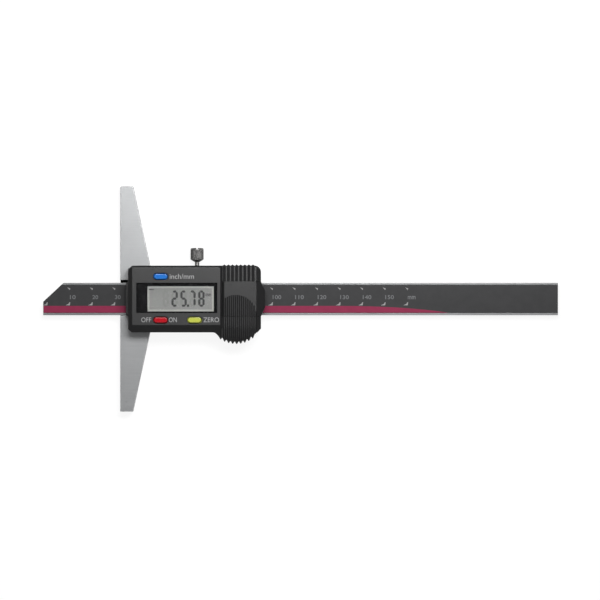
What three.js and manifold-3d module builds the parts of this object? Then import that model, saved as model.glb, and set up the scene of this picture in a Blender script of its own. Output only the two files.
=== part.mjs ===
// Digital depth gauge with a 150 mm range and a 100 mm base. All lengths are millimetres.
// The gauge lies on its back: +X runs along the beam away from the measuring face, +Y across the
// beam towards the lock screw, and +Z towards the reader. The origin lies in the measuring face,
// on the beam's centre line and in the plane of the back.
import * as THREE from 'three';
import { mergeVertices } from 'three/addons/utils/BufferGeometryUtils.js';
import Module from 'manifold-3d';

const wasm = await Module();
wasm.setup();

// Beam: a flat bar whose front is milled out for the scale, with a pointed tip.
const depthRange = 150;
const beamWidth = 14.4;
const beamThick = 3.8;
const beamOut = 34.2; // how far the tip stands out of the measuring face
const tipRun = 9; // the tip's slant, along the beam
const tipFlat = 6; // the straight part of the tip
const rimWidth = 0.95; // steel left beside the scale
const channelDepth = 0.9;
const stripThick = 0.5;
const labelThick = 0.3;
const beamTail = 15.1; // beyond the stop screws
const stopSpacing = 7; // across the beam
const stopHeadRadius = 1.7;
const stopHeadHeight = 1.2;
const stopShankRadius = 0.8;
const stopShankLength = 2.4;

// Base crossbar and slider channel: one piece of steel.
const baseLength = 100;
const baseEndDepth = 5.7;
const baseRootDepth = 13.4;
const webThick = 2; // steel behind the beam
const slideGap = 0.1; // running clearance around the beam
const boardClear = 0.3; // from the beam's rims up to the circuit board
const sliderInset = 0.6; // from the housing's outline in to the channel's
const sliderEndInset = 0.9;

// Gib strip, its set screws and the lock screw.
const gibThick = 1;
const gibEndInset = 3.5;
const setScrewInset = 8.5; // from the gib's ends
const setScrewRadius = 0.9;
const setScrewSink = 1; // below the channel's edge
const lockInset = 30.35; // from the housing's left side
const lockShankRadius = 1;
const lockNeck = 1.6; // bare neck between housing and head
const lockTaper = 1.2;
const lockHeadRadius = 2.95;
const lockHeadLength = 5.1;
const lockRound = 0.7;
const knurlDepth = 0.25;
const slotWidth = 0.7;
const slotDepth = 0.8;
const threadGap = 0.1;

// Head along X, from its left side: window, panel, groove, battery bay, end wall.
const headLeft = 3.73;
const windowInset = 3.63;
const windowLength = 35.8;
const panelEdge = 1.34;
const grooveWidth = 0.6;
const grooveDepth = 0.5;
const contactRoom = 2.4;
const cellRadius = 5.8;
const cellGap = 1.9;
const sideWall = 1.5;

// Head along Y, from the window outwards.
const windowMiddle = 0.45;
const windowHeight = 13.3;
const upperKeyOffset = 2.88;
const upperKeyEdge = 4.82;
const lowerKeyOffset = 3.1;
const lowerKeyEdge = 5.5;

// Head along Z, from the beam up to the face.
const boardThick = 1;
const contactRise = 0.8;
const cellThick = 5.4;
const cellHeadroom = 0.3;
const coverThick = 1.9;
const roofThick = 1.6;

// Housing: edges, corners and the lip over the beam.
const leftSlopeRun = 1.8;
const leftSlopeDrop = 1.3;
const rightSlopeRun = 2;
const rightSlopeDrop = 1.3;
const topEdge = 1;
const bottomSlopeRun = 3.3;
const bottomSlopeDrop = 2.2;
const upperCutRun = 2;
const upperCutDrop = 1.5;
const lowerCut = 1.5;
const upperRound = 2.8;
const cornerRun = 1.56;
const cornerRise = 1.7;
const lipReach = 1.1;
const lipHalf = 6.85;
const lipHeight = 5;
const bossRadius = 2.2;
const bossInset = 4.9; // from the housing's end

// Ridges over the top edge, and the thumb grip with its teeth.
const ridgePitch = 1.81;
const ridgeCount = 8;
const ridgeStart = 1.24; // from the battery bay's left edge
const ridgeBase = 1.3;
const ridgeDepth = 0.5;
const ridgeProud = 0.5; // beyond the top edge
const ridgeTurn = 0.35; // how far short of the top edge they turn down
const ridgeFoot = 4; // how far they stop short of the housing's foot
const ridgeMargin = 0.15;
const gripCentreX = 6.34; // from the battery bay's left edge
const gripCentreY = -7.4;
const gripRadius = 12.57;
const toothDepth = 1.1;
const flareRun = 3.7;
const flareLead = 2.9;
const flareDrop = 1.7;
const gripStep = 0.8;
const gripCurve = 8.6; // radius of the grip's front in side view
const gripBottom = 3;
const gripWall = 1.5;
const gripGap = 0.3; // beside the slider channel
const padRadius = 9.2;
const padGroove = 0.4;
const padDepth = 0.3;

// Display: window, glass, reflector, elastomer strips and their holder.
const windowThick = 1;
const windowGap = 0.1;
const windowLedge = 0.4;
const viewLeft = 4.97; // black border at the window's left
const viewRight = 1.47;
const viewTop = 1.42;
const viewBottom = 0.71;
const glassMargin = 1.4;
const glassThick = 1.9;
const reflectorThick = 0.2;
const elastomerWidth = 1.1;
const elastomerInset = 1.2;
const holderWall = 0.75;
const holderGap = 0.15;
const holderLip = 0.3;
const chipLength = 9;
const chipWidth = 7;
const chipHeight = 1.4;

// Keys: a cap with a flange under the roof, over a rubber plunger.
const keyLength = 6.1;
const keyWidth = 2.6;
const keyGap = 0.25;
const keyProud = 0.6;
const keyEdge = 0.35;
const keyFlange = 0.5;
const keyFlangeThick = 0.9;
const keyTravel = 0.5;
const plungerLength = 4.6;
const plungerWidth = 2;
const upperKeyX = 14.45; // from the housing's left side
const lowerKeyX = 14.43;
const zeroKeyInset = 9.97; // from the window's right side

// Battery bay: cover, tongues, ribs and contacts.
const coverGap = 0.15;
const coverLift = 0.1;
const bayMargin = 2.05; // from the cell to the cover's long edges
const tongueReach = 0.8;
const tongueThick = 0.5;
const ribInner = 0.85; // ledge under the cover's long edges
const ribOuter = 1.85;
const bayWall = 0.8;
const coverBulge = 1.8; // past the housing's right side
const bulgeTaper = 4;
const coverEdgeRun = 1; // bevel beside the groove
const coverEdgeDrop = 0.7;
const skirtDrop = 4.4;
const leafThick = 0.3;
const leafHalf = 3;
const leafFoot = 1.2;
const springHalfWidth = 3;
const springReach = 4;
const springRise = 0.15;

// Housing screws.
const screwShankRadius = 0.95;
const screwHeadRadius = 1.85;
const screwHeadHeight = 1.3;
const screwSink = 0.1;
const screwReach = 6.3; // into the housing's bosses
const crossLength = 2.2;
const crossWidth = 0.5;
const crossDepth = 0.7;

const overrun = 1; // how far cutting shapes pass the faces that they cut
const flatSides = 24; // facets of a visible round
const knurlSides = 48;
const holeSides = 16;
const arcSteps = 8;

// Places worked out from the sizes above.
const beamHalf = beamWidth / 2;
const beamBottom = webThick + slideGap;
const beamTop = beamBottom + beamThick;
const beamMiddle = (beamBottom + beamTop) / 2;
const channelHalf = beamHalf - rimWidth;
const channelFloor = beamTop - channelDepth;
const frameTop = beamTop + boardClear;
const boardTop = frameTop + boardThick;
const cellBottom = boardTop + contactRise;
const coverBottom = cellBottom + cellThick + cellHeadroom;
const faceTop = coverBottom + coverThick;
const roofUnder = faceTop - roofThick;

const windowLeft = headLeft + windowInset;
const windowRight = windowLeft + windowLength;
const grooveLeft = windowRight + panelEdge;
const bayLeft = grooveLeft + grooveWidth;
const cellX = bayLeft + contactRoom + cellRadius;
const headRight = cellX + cellRadius + cellGap + sideWall;
const windowUpper = windowMiddle + windowHeight / 2;
const windowLower = windowMiddle - windowHeight / 2;
const upperKeyY = windowUpper + upperKeyOffset;
const lowerKeyY = windowLower - lowerKeyOffset;
const headUpper = upperKeyY + upperKeyEdge;
const headLower = lowerKeyY - lowerKeyEdge;

const slotUpper = beamHalf + slideGap + gibThick + slideGap;
const slotLower = -beamHalf - slideGap;
const sliderUpper = headUpper - sliderInset;
const sliderLower = headLower + sliderInset;
const sliderEnd = headRight - sliderEndInset;
const gibEnd = sliderEnd - gibEndInset;
const stopFromTip = sliderEnd + depthRange + slideGap + stopHeadRadius;
const beamLength = stopFromTip + beamTail;
const setScrewPlaces = [gibEndInset + setScrewInset, gibEnd - setScrewInset];
const lockX = headLeft + lockInset;
const lockHeadStart = headUpper + lockNeck;
const screwPlaces = [headLeft + bossInset, headRight - bossInset].flatMap((x) => [
  [x, (slotUpper + sliderUpper) / 2],
  [x, (slotLower + sliderLower) / 2],
]);
const bayHalf = cellRadius + bayMargin;
const firstRidge = bayLeft + ridgeStart;
const gripX = bayLeft + gripCentreX;
const gripLow = gripCentreY - gripRadius - 2 * padDepth;
const gripTurn = gripLow + gripCurve; // where the grip's flat front starts to curve down
const padTop = gripTurn + gripStep;

// Shapes: every solid starts as one of three.js's geometries and is cut or joined as a solid.

// The solid inside a closed geometry.
function solidOf(geometry) {
  const bare = geometry.clone();
  bare.deleteAttribute('normal');
  bare.deleteAttribute('uv');
  const merged = mergeVertices(bare);
  return new wasm.Manifold(new wasm.Mesh({
    numProp: 3,
    vertProperties: merged.getAttribute('position').array,
    triVerts: new Uint32Array(merged.index.array),
  }));
}

// The geometry of a solid's surface.
function geometryOf(solid) {
  const surface = solid.getMesh();
  const geometry = new THREE.BufferGeometry();
  geometry.setAttribute('position', new THREE.BufferAttribute(surface.vertProperties, 3));
  geometry.setIndex(new THREE.BufferAttribute(surface.triVerts, 1));
  geometry.computeVertexNormals();
  return geometry;
}

// Which way an outline's two coordinates and its extrusion point, for each plane it can lie in.
const planes = {
  xy: { basis: [[1, 0, 0], [0, 1, 0], [0, 0, 1]], along: 1 },
  yz: { basis: [[0, 1, 0], [0, 0, 1], [1, 0, 0]], along: 1 },
  xz: { basis: [[1, 0, 0], [0, 0, 1], [0, -1, 0]], along: -1 },
};

// A prism over an outline in the named plane, from one height to another across that plane.
function prism(plane, points, low, high) {
  const outline = new THREE.Shape(points.map(([a, b]) => new THREE.Vector2(a, b)));
  const geometry = new THREE.ExtrudeGeometry(outline, { depth: high - low, bevelEnabled: false });
  const { basis, along } = planes[plane];
  geometry.translate(0, 0, along > 0 ? low : -high);
  const axes = basis.map((axis) => new THREE.Vector3(...axis));
  geometry.applyMatrix4(new THREE.Matrix4().makeBasis(...axes));
  return solidOf(geometry);
}

function block(x, y, z) {
  const geometry = new THREE.BoxGeometry(x[1] - x[0], y[1] - y[0], z[1] - z[0]);
  geometry.translate((x[0] + x[1]) / 2, (y[0] + y[1]) / 2, (z[0] + z[1]) / 2);
  return solidOf(geometry);
}

// Points along a circle's arc, between two angles in radians.
function arc(a, b, radius, from, to, steps) {
  return Array.from({ length: steps + 1 }, (_, i) => {
    const angle = from + ((to - from) * i) / steps;
    return [a + radius * Math.cos(angle), b + radius * Math.sin(angle)];
  });
}

function circle(a, b, radius, sides) {
  return arc(a, b, radius, 0, 2 * Math.PI, sides).slice(0, sides);
}

// A round bar across the named plane.
function rod(plane, a, b, radius, low, high, sides = holeSides) {
  return prism(plane, circle(a, b, radius, sides), low, high);
}

// A bar with half-round ends, lying along X.
function stadium(x, y, length, width) {
  const reach = (length - width) / 2;
  const right = arc(x + reach, y, width / 2, -Math.PI / 2, Math.PI / 2, arcSteps);
  const left = arc(x - reach, y, width / 2, Math.PI / 2, (3 * Math.PI) / 2, arcSteps);
  return [...right, ...left];
}

function join(...solids) {
  return solids.reduce((sum, solid) => sum.add(solid));
}

function cut(solid, ...tools) {
  return tools.reduce((rest, tool) => rest.subtract(tool), solid);
}

const finishes = {
  groundSteel: { color: 0xb9bbbc, roughness: 0.38, metalness: 1 },
  darkSteel: { color: 0x8d8f91, roughness: 0.3, metalness: 1 },
  nickel: { color: 0xc9c7c0, roughness: 0.25, metalness: 1 },
  brass: { color: 0xc2a04f, roughness: 0.35, metalness: 1 },
  blackPlastic: { color: 0x3c3d3f, roughness: 0.55, metalness: 0 },
  labelBlack: { color: 0x3a3a3c, roughness: 0.4, metalness: 0 },
  boardGreen: { color: 0x1f5a38, roughness: 0.5, metalness: 0 },
  chipBlack: { color: 0x101011, roughness: 0.4, metalness: 0 },
  whitePlastic: { color: 0xd9d8d2, roughness: 0.5, metalness: 0 },
  rubberGrey: { color: 0x8f8f92, roughness: 0.8, metalness: 0 },
  displayGlass: { color: 0x9fa39c, roughness: 0.12, metalness: 0 },
  windowClear: { color: 0x191a1c, roughness: 0.06, metalness: 0 },
  keyBlue: { color: 0x1f63d6, roughness: 0.3, metalness: 0 },
  keyRed: { color: 0xc70125, roughness: 0.3, metalness: 0 },
  keyYellow: { color: 0xc9cb48, roughness: 0.3, metalness: 0 },
};

function piece(name, shape, finish) {
  const geometry = shape.isBufferGeometry ? shape : geometryOf(shape);
  const mesh = new THREE.Mesh(geometry, new THREE.MeshStandardMaterial(finishes[finish]));
  mesh.name = name;
  return mesh;
}

function placed(mesh, x, y, z) {
  mesh.position.set(x, y, z);
  return mesh;
}

// Beam assembly, built with its tip at x = 0.
function beamAssembly() {
  const outline = [
    [0, -beamHalf],
    [beamLength, -beamHalf],
    [beamLength, beamHalf],
    [tipRun, beamHalf],
    [0, tipFlat - beamHalf],
  ];
  const inChannel = (low, high) => prism('xy', outline, low, high).intersect(
    block([-overrun, beamLength + overrun], [-channelHalf, channelHalf], [low, high]),
  );
  const stopPlaces = [stopSpacing / 2, -stopSpacing / 2];
  const holeEnd = beamBottom + stopShankLength + threadGap;
  const stopHoles = stopPlaces.map((y) => rod(
    'xy', stopFromTip, y, stopShankRadius + threadGap, beamBottom - overrun, holeEnd,
  ));
  const bar = cut(
    prism('xy', outline, beamBottom, beamTop),
    block([-overrun, beamLength + overrun], [-channelHalf, channelHalf], [channelFloor, beamTop + overrun]),
    ...stopHoles,
  );
  const stripTop = channelFloor + stripThick;
  const slot = block(
    [-stopHeadRadius - overrun, stopHeadRadius + overrun],
    [-crossWidth / 2, crossWidth / 2],
    [-stopHeadHeight - overrun, crossDepth - stopHeadHeight],
  );
  const stopScrew = cut(join(
    rod('xy', 0, 0, stopHeadRadius, -stopHeadHeight, 0, flatSides),
    rod('xy', 0, 0, stopShankRadius, 0, stopShankLength),
  ), slot);

  const group = new THREE.Group();
  group.position.x = -beamOut;
  group.add(
    piece('beam', bar, 'groundSteel'),
    piece('scale_strip', inChannel(channelFloor, stripTop), 'boardGreen'),
    piece('scale_label', inChannel(stripTop, stripTop + labelThick), 'labelBlack'),
    ...stopPlaces.map((y, i) => placed(
      piece(`beam_stop_screw_${i + 1}`, stopScrew, 'darkSteel'), stopFromTip, y, beamBottom,
    )),
  );
  return group;
}

// Base crossbar with the slider channel, drilled for every screw that it holds.
function baseFrame() {
  const baseHalf = baseLength / 2;
  const outline = [
    [0, -baseHalf],
    [baseEndDepth, -baseHalf],
    [baseRootDepth, sliderLower],
    [sliderEnd, sliderLower],
    [sliderEnd, sliderUpper],
    [baseRootDepth, sliderUpper],
    [baseEndDepth, baseHalf],
    [0, baseHalf],
  ];
  const slot = block(
    [-overrun, sliderEnd + overrun], [slotLower, slotUpper], [webThick, frameTop + overrun],
  );
  const crossHole = (x, radius) => rod(
    'xz', x, beamMiddle, radius, (slotLower + slotUpper) / 2, sliderUpper + overrun,
  );
  const screwHoles = screwPlaces.flatMap(([x, y]) => [
    rod('xy', x, y, screwShankRadius + threadGap, -overrun, frameTop + overrun),
    rod('xy', x, y, screwHeadRadius + threadGap, -overrun, screwSink + screwHeadHeight, flatSides),
  ]);
  return cut(
    prism('xy', outline, 0, frameTop),
    slot,
    ...setScrewPlaces.map((x) => crossHole(x, setScrewRadius + threadGap)),
    crossHole(lockX, lockShankRadius + threadGap),
    ...screwHoles,
  );
}

// Slotted set screw, lying along Y between the gib and the channel's edge.
function setScrew() {
  const length = sliderUpper - setScrewSink - slotUpper;
  return cut(
    rod('xz', 0, 0, setScrewRadius, 0, length),
    block(
      [-setScrewRadius, setScrewRadius],
      [length - crossDepth, length + overrun],
      [-crossWidth / 2, crossWidth / 2],
    ),
  );
}

// Lock screw: a threaded shank, a neck, and a tapered head with a straight knurl and a slot.
function lockScrew() {
  const low = slotUpper;
  const top = lockHeadStart + lockTaper + lockHeadLength;
  const blank = lockHeadRadius + knurlDepth;
  const profile = [
    [0, low],
    [lockShankRadius, low],
    [lockShankRadius, lockHeadStart],
    [blank - lockRound, lockHeadStart + lockTaper / 2],
    [blank, lockHeadStart + lockTaper],
    [blank, top - lockRound],
    [blank - lockRound, top],
    [0, top],
  ].map(([radius, y]) => new THREE.Vector2(radius, y));
  const turned = solidOf(new THREE.LatheGeometry(profile, knurlSides));
  const turn = Math.PI / (2 * knurlSides);
  const rim = arc(0, 0, lockHeadRadius, turn, turn + 2 * Math.PI, knurlSides).slice(1);
  const knurl = rim.map(([x, z], i) => {
    const share = i % 2 ? 1 : 1 - knurlDepth / lockHeadRadius;
    return [x * share, z * share];
  });
  const knurled = prism('xz', knurl, low - overrun, top + overrun);
  const slot = block(
    [-slotWidth / 2, slotWidth / 2],
    [top - slotDepth, top + overrun],
    [-lockHeadRadius - overrun, lockHeadRadius + overrun],
  );
  return cut(turned.intersect(knurled), slot);
}

// Outline of the head without its grip: cut corners, the upper right one round.
function headOutline() {
  const roundX = headRight - upperRound;
  return [
    [headLeft, headLower + lowerCut],
    [headLeft + lowerCut, headLower],
    [headRight - cornerRun, headLower],
    [headRight, headLower + cornerRise],
    ...arc(roundX, headUpper - upperRound, upperRound, 0, Math.PI / 2, arcSteps),
    [headLeft + upperCutRun, headUpper],
    [headLeft, headUpper - upperCutDrop],
  ];
}

// Side view of the head: a small upper edge and a wide lower slope, or the space inside them.
function headSection(inset, roof) {
  const top = faceTop - roof;
  const slope = bottomSlopeDrop / bottomSlopeRun;
  return [
    [headLower + inset, frameTop - (inset ? overrun : 0)],
    [headUpper - inset, frameTop - (inset ? overrun : 0)],
    [headUpper - inset, inset ? top : top - topEdge],
    [headUpper - (inset || topEdge), top],
    [headLower + bottomSlopeRun, top],
    [headLower + inset, top - bottomSlopeDrop + inset * slope],
  ].filter(([y, z], i, all) => !i || y !== all[i - 1][0] || z !== all[i - 1][1]);
}

// Front view of the head: a slope down to each end.
function headFrontSection() {
  return [
    [headLeft, 0],
    [headRight, 0],
    [headRight, faceTop - rightSlopeDrop],
    [headRight - rightSlopeRun, faceTop],
    [headLeft + leftSlopeRun, faceTop],
    [headLeft, faceTop - leftSlopeDrop],
  ];
}

// How low the grip's outline lies at a place along X, for a circle of the given radius.
function gripEdge(x, radius) {
  return gripCentreY - Math.sqrt(radius ** 2 - (x - gripX) ** 2);
}

// Outline of the toothed grip: from its left flank round the teeth to the head's cut corner.
function gripOutline(upper) {
  const right = headRight - cornerRun;
  const slant = cornerRun / cornerRise;
  const points = [
    [bayLeft, upper],
    [bayLeft, headLower],
    [bayLeft - flareRun + flareLead, headLower - flareDrop],
  ];
  for (let i = -1; i < ridgeCount; i += 1) {
    const x = firstRidge + i * ridgePitch;
    const valley = x + ridgePitch / 2;
    points.push([x, gripEdge(x, gripRadius)], [valley, gripEdge(valley, gripRadius - toothDepth)]);
  }
  points.pop();
  points.push([right - gripStep * slant, headLower - gripStep], [right, headLower], [right, upper]);
  return points;
}

// Side view of the grip's front, from a place on the flat face: flat, then round down to the teeth.
function gripSection(depth, from) {
  const round = arc(gripTurn, faceTop - gripCurve, gripCurve - depth, Math.PI / 2, Math.PI, arcSteps);
  return [[from, faceTop - depth], ...round];
}

// The grip's whole body, before the housing is hollowed: its teeth, and the flare at its left.
function gripBody() {
  const section = [...gripSection(0, padTop), [gripLow, gripBottom], [padTop, gripBottom]];
  const upper = prism('xy', gripOutline(padTop), frameTop, faceTop);
  const lower = prism('xy', gripOutline(sliderLower - gripGap), gripBottom, frameTop + boardThick);
  const flareLeft = bayLeft - flareRun;
  const flare = (edge, low, high) => prism('xy', [
    [flareLeft, edge],
    [flareLeft, headLower],
    [flareLeft + flareLead, headLower - flareDrop],
    [bayLeft + gripWall, headLower - flareDrop],
    [bayLeft + gripWall, edge],
  ], low, high);
  return join(
    join(upper, lower).intersect(prism('yz', section, headLeft, headRight)),
    flare(headLower + sideWall, frameTop, faceTop - bottomSlopeDrop),
    flare(sliderLower - gripGap, gripBottom, frameTop + boardThick),
  );
}

// Thin grooves across the thumb pad, which run from its round upper edge down to the teeth.
function padGrooves() {
  const pitch = ridgePitch / 2;
  const places = Array.from({ length: 2 * ridgeCount + 1 }, (_, i) => firstRidge + (i - 1 / 2) * pitch);
  return places.filter((x) => Math.abs(x - gripX) < padRadius).map((x) => {
    const from = gripCentreY + Math.sqrt(padRadius ** 2 - (x - gripX) ** 2);
    const low = gripLow - overrun;
    const section = [
      ...gripSection(padDepth, from),
      [low, faceTop - gripCurve],
      [low, faceTop + overrun],
      [from, faceTop + overrun],
    ];
    return prism('yz', section, x - padGroove / 2, x + padGroove / 2);
  });
}

// The ridges that wrap over the housing's top edge.
function topRidges() {
  return Array.from({ length: ridgeCount }, (_, i) => {
    const x = firstRidge + i * ridgePitch;
    const half = ridgeBase / 2;
    const floor = faceTop - ridgeDepth;
    const onFace = prism('xz', [
      [x - half, floor - ridgeDepth],
      [x + half, floor - ridgeDepth],
      [x + half, floor],
      [x, faceTop],
      [x - half, floor],
    ], bayHalf + ridgeMargin, headUpper - ridgeTurn);
    const onEdge = prism('xy', [
      [x - half, headUpper - topEdge],
      [x + half, headUpper - topEdge],
      [x + half, headUpper],
      [x, headUpper + ridgeProud],
      [x - half, headUpper],
    ], frameTop + ridgeFoot, floor);
    return join(onFace, onEdge);
  });
}

// Front housing: an open shell with the display recess, key holes, battery bay and screw bosses.
function frontHousing() {
  const lip = prism('xy', [
    [headLeft + overrun, -lipHalf - lipReach],
    [headLeft, -lipHalf - lipReach],
    [headLeft - lipReach, -lipHalf],
    [headLeft - lipReach, lipHalf],
    [headLeft, lipHalf + lipReach],
    [headLeft + overrun, lipHalf + lipReach],
  ], frameTop, frameTop + lipHeight);
  const ridgeZone = block(
    [
      firstRidge - ridgeBase / 2 - ridgeMargin,
      firstRidge + (ridgeCount - 1) * ridgePitch + ridgeBase / 2 + ridgeMargin,
    ],
    [bayHalf, headUpper + overrun],
    [faceTop - ridgeDepth, faceTop + overrun],
  );
  const box = prism('xy', headOutline(), frameTop, faceTop)
    .intersect(prism('yz', headSection(0, 0), headLeft, headRight));
  const body = join(box, gripBody()).intersect(prism('xz', headFrontSection(), gripLow, headUpper));
  const outside = join(cut(body, ridgeZone), lip, ...topRidges());

  const bosses = screwPlaces.map(([x, y]) => rod('xy', x, y, bossRadius, frameTop - 2 * overrun, faceTop));
  const overBoard = boardTop + coverLift;
  const ribs = [1, -1].map((side) => {
    const edges = [side * (bayHalf - ribInner), side * (bayHalf + ribOuter)].sort((a, b) => a - b);
    return block([bayLeft, headRight], edges, [overBoard, faceTop]);
  });
  const wall = block(
    [bayLeft - bayWall / 2, bayLeft + bayWall / 2],
    [-bayHalf - ribOuter, bayHalf + ribOuter],
    [overBoard, faceTop],
  );
  const hollow = cut(
    prism('yz', headSection(sideWall, roofThick), headLeft + sideWall, headRight - sideWall),
    ...bosses, ...ribs, wall,
  );
  const gripInside = gripRadius - toothDepth - gripWall;
  const gripHollow = rod('xy', gripX, gripCentreY, gripInside, gripBottom - overrun, frameTop).intersect(
    block([bayLeft, headRight], [headLower - gripRadius, sliderLower - gripGap], [0, frameTop]),
  );

  const windowSeat = block(
    [windowLeft - windowGap, windowRight + windowGap],
    [windowLower - windowGap, windowUpper + windowGap],
    [roofUnder + windowLedge, faceTop + overrun],
  );
  const view = block(
    [windowLeft + viewLeft - windowGap, windowRight - viewRight + windowGap],
    [windowLower + viewBottom - windowGap, windowUpper - viewTop + windowGap],
    [roofUnder - overrun, faceTop + overrun],
  );
  const keyHoles = keyPlaces.map(([x, y]) => prism(
    'xy',
    stadium(x, y, keyLength + 2 * keyGap, keyWidth + 2 * keyGap),
    roofUnder - overrun,
    faceTop + overrun,
  ));
  const coverSeat = coverBottom - coverLift;
  const bay = block([bayLeft, headRight + overrun], [-bayHalf, bayHalf], [coverSeat, faceTop + overrun]);
  const tongueSlot = block(
    [bayLeft, headRight + overrun],
    [-bayHalf - tongueReach, bayHalf + tongueReach],
    [coverSeat, coverBottom + tongueThick + coverLift],
  );
  const groove = block(
    [grooveLeft, bayLeft],
    [headLower - overrun, headUpper + overrun],
    [faceTop - grooveDepth, faceTop + overrun],
  );
  const screwHoles = screwPlaces.map(([x, y]) => rod(
    'xy', x, y, screwShankRadius + threadGap, frameTop - overrun, frameTop + screwReach + threadGap,
  ));
  const inner = [hollow, gripHollow, windowSeat, view, bay, tongueSlot];
  return cut(outside, ...inner, ...keyHoles, groove, ...screwHoles, ...padGrooves());
}

// The three keys' places, as they are seen from the front.
const keyPlaces = [
  [headLeft + upperKeyX, upperKeyY],
  [headLeft + lowerKeyX, lowerKeyY],
  [windowRight - zeroKeyInset, lowerKeyY],
];

// A key's cap, built around x = y = 0: bevelled oval top and a flange that the roof holds down.
function keyCap() {
  const capTop = faceTop + keyProud;
  const flangeTop = roofUnder - coverLift;
  const flange = stadium(0, 0, keyLength + 2 * keyFlange, keyWidth + 2 * keyFlange);
  const top = stadium(0, 0, keyLength - 2 * keyEdge, keyWidth - 2 * keyEdge);
  const shaft = new THREE.ExtrudeGeometry(new THREE.Shape(top.map(([x, y]) => new THREE.Vector2(x, y))), {
    depth: capTop - keyEdge - flangeTop,
    bevelThickness: keyEdge,
    bevelSize: keyEdge,
    bevelSegments: 2,
  });
  shaft.translate(0, 0, flangeTop);
  return join(prism('xy', flange, flangeTop - keyFlangeThick, flangeTop), solidOf(shaft));
}

function keyPlunger() {
  const outline = stadium(0, 0, plungerLength, plungerWidth);
  const tip = boardTop + keyTravel + slideGap;
  return prism('xy', outline, tip, roofUnder - coverLift - keyFlangeThick);
}

// Circuit board, notched around the housing's bosses.
function mainBoard() {
  const notch = bossRadius + 2 * coverGap;
  const upper = headUpper - sideWall - sliderInset;
  const lower = headLower + sideWall + sliderInset;
  const left = headLeft + sideWall + sliderInset;
  const right = headRight - sideWall - sliderInset;
  const notches = screwPlaces.map(([x, y]) => block(
    x < gripX / 2 ? [left - overrun, x + notch] : [x - notch, right + overrun],
    y > 0 ? [y - notch, upper + overrun] : [lower - overrun, y + notch],
    [frameTop - overrun, boardTop + overrun],
  ));
  return cut(block([left, right], [lower, upper], [frameTop, boardTop]), ...notches);
}

// The display stack, from the board up to the window.
function displayPieces() {
  const view = {
    x: [windowLeft + viewLeft, windowRight - viewRight],
    y: [windowLower + viewBottom, windowUpper - viewTop],
  };
  const grown = ([low, high], by) => [low - by, high + by];
  const glass = { x: grown(view.x, glassMargin), y: grown(view.y, glassMargin) };
  const glassTop = roofUnder - coverLift;
  const glassBottom = glassTop - glassThick;
  const inner = { x: grown(glass.x, holderGap), y: grown(glass.y, holderGap) };
  const holder = cut(
    block(grown(inner.x, holderWall), grown(inner.y, holderWall), [boardTop, glassBottom + holderLip]),
    block(inner.x, inner.y, [boardTop - overrun, glassBottom + holderLip + overrun]),
  );
  const barX = grown(glass.x, -elastomerInset);
  const barUpper = [glass.y[1] - elastomerWidth, glass.y[1]];
  const barLower = [glass.y[0], glass.y[0] + elastomerWidth];
  const reflectorY = [barLower[1] + holderGap, barUpper[0] - holderGap];
  const chipX = (glass.x[0] + glass.x[1] - chipLength) / 2;
  const chip = block(
    [chipX, chipX + chipLength], [-chipWidth / 2, chipWidth / 2], [boardTop, boardTop + chipHeight],
  );
  const window = block(
    [windowLeft, windowRight], [windowLower, windowUpper],
    [roofUnder + windowLedge, roofUnder + windowLedge + windowThick],
  );
  return [
    piece('lcd_holder', holder, 'whitePlastic'),
    piece('elastomer_upper', block(barX, barUpper, [boardTop, glassBottom]), 'rubberGrey'),
    piece('elastomer_lower', block(barX, barLower, [boardTop, glassBottom]), 'rubberGrey'),
    piece('lcd_reflector', block(barX, reflectorY, [glassBottom - reflectorThick, glassBottom]), 'nickel'),
    piece('lcd_panel', block(glass.x, glass.y, [glassBottom, glassTop]), 'displayGlass'),
    piece('controller_chip', chip, 'chipBlack'),
    piece('display_window', window, 'windowClear'),
  ];
}

// Battery cover: a sloping lid with side tongues and a skirt over the housing's end.
function batteryCover() {
  const left = bayLeft + coverGap;
  const half = bayHalf - coverGap;
  const right = headRight + coverBulge;
  const slope = rightSlopeDrop / rightSlopeRun;
  const skirt = headRight + coverGap;
  const section = [
    [left, coverBottom],
    [skirt, coverBottom],
    [skirt, coverBottom - skirtDrop],
    [right, coverBottom - skirtDrop],
    [right, faceTop - rightSlopeDrop - coverBulge * slope],
    [headRight - rightSlopeRun, faceTop],
    [left + coverEdgeRun, faceTop],
    [left, faceTop - coverEdgeDrop],
  ];
  const outline = [
    [left, -half],
    [headRight, -half],
    [right, bulgeTaper - half],
    [right, half - bulgeTaper],
    [headRight, half],
    [left, half],
  ];
  const lid = prism('xz', section, -half, half).intersect(
    prism('xy', outline, coverBottom - skirtDrop, faceTop),
  );
  const tongues = block(
    [left, headRight - sideWall],
    [coverGap - bayHalf - tongueReach, bayHalf + tongueReach - coverGap],
    [coverBottom, coverBottom + tongueThick],
  );
  return cut(join(lid, tongues), ...padGrooves());
}

// Flat spring on the board, whose raised middle meets the cell from below.
function negativeContact() {
  const step = springReach / 3;
  const lift = cellBottom - springRise - leafThick;
  const lower = [
    [-springReach, boardTop],
    [-2 * step, boardTop],
    [-step, lift],
    [step, lift],
    [2 * step, boardTop],
    [springReach, boardTop],
  ];
  const upper = lower.map(([x, z]) => [x, z + leafThick]).reverse();
  return prism('xz', [...lower, ...upper], -springHalfWidth, springHalfWidth);
}

// Bent leaf that stands on the board and leans on the cell's side.
function positiveContact() {
  const inner = cellX - cellRadius - springRise;
  const outer = inner - leafThick;
  return prism('xz', [
    [outer - leafFoot, boardTop],
    [inner, boardTop],
    [inner, cellBottom + cellThick - leafThick],
    [outer, cellBottom + cellThick - leafThick],
    [outer, boardTop + leafThick],
    [outer - leafFoot, boardTop + leafThick],
  ], -leafHalf, leafHalf);
}

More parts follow.
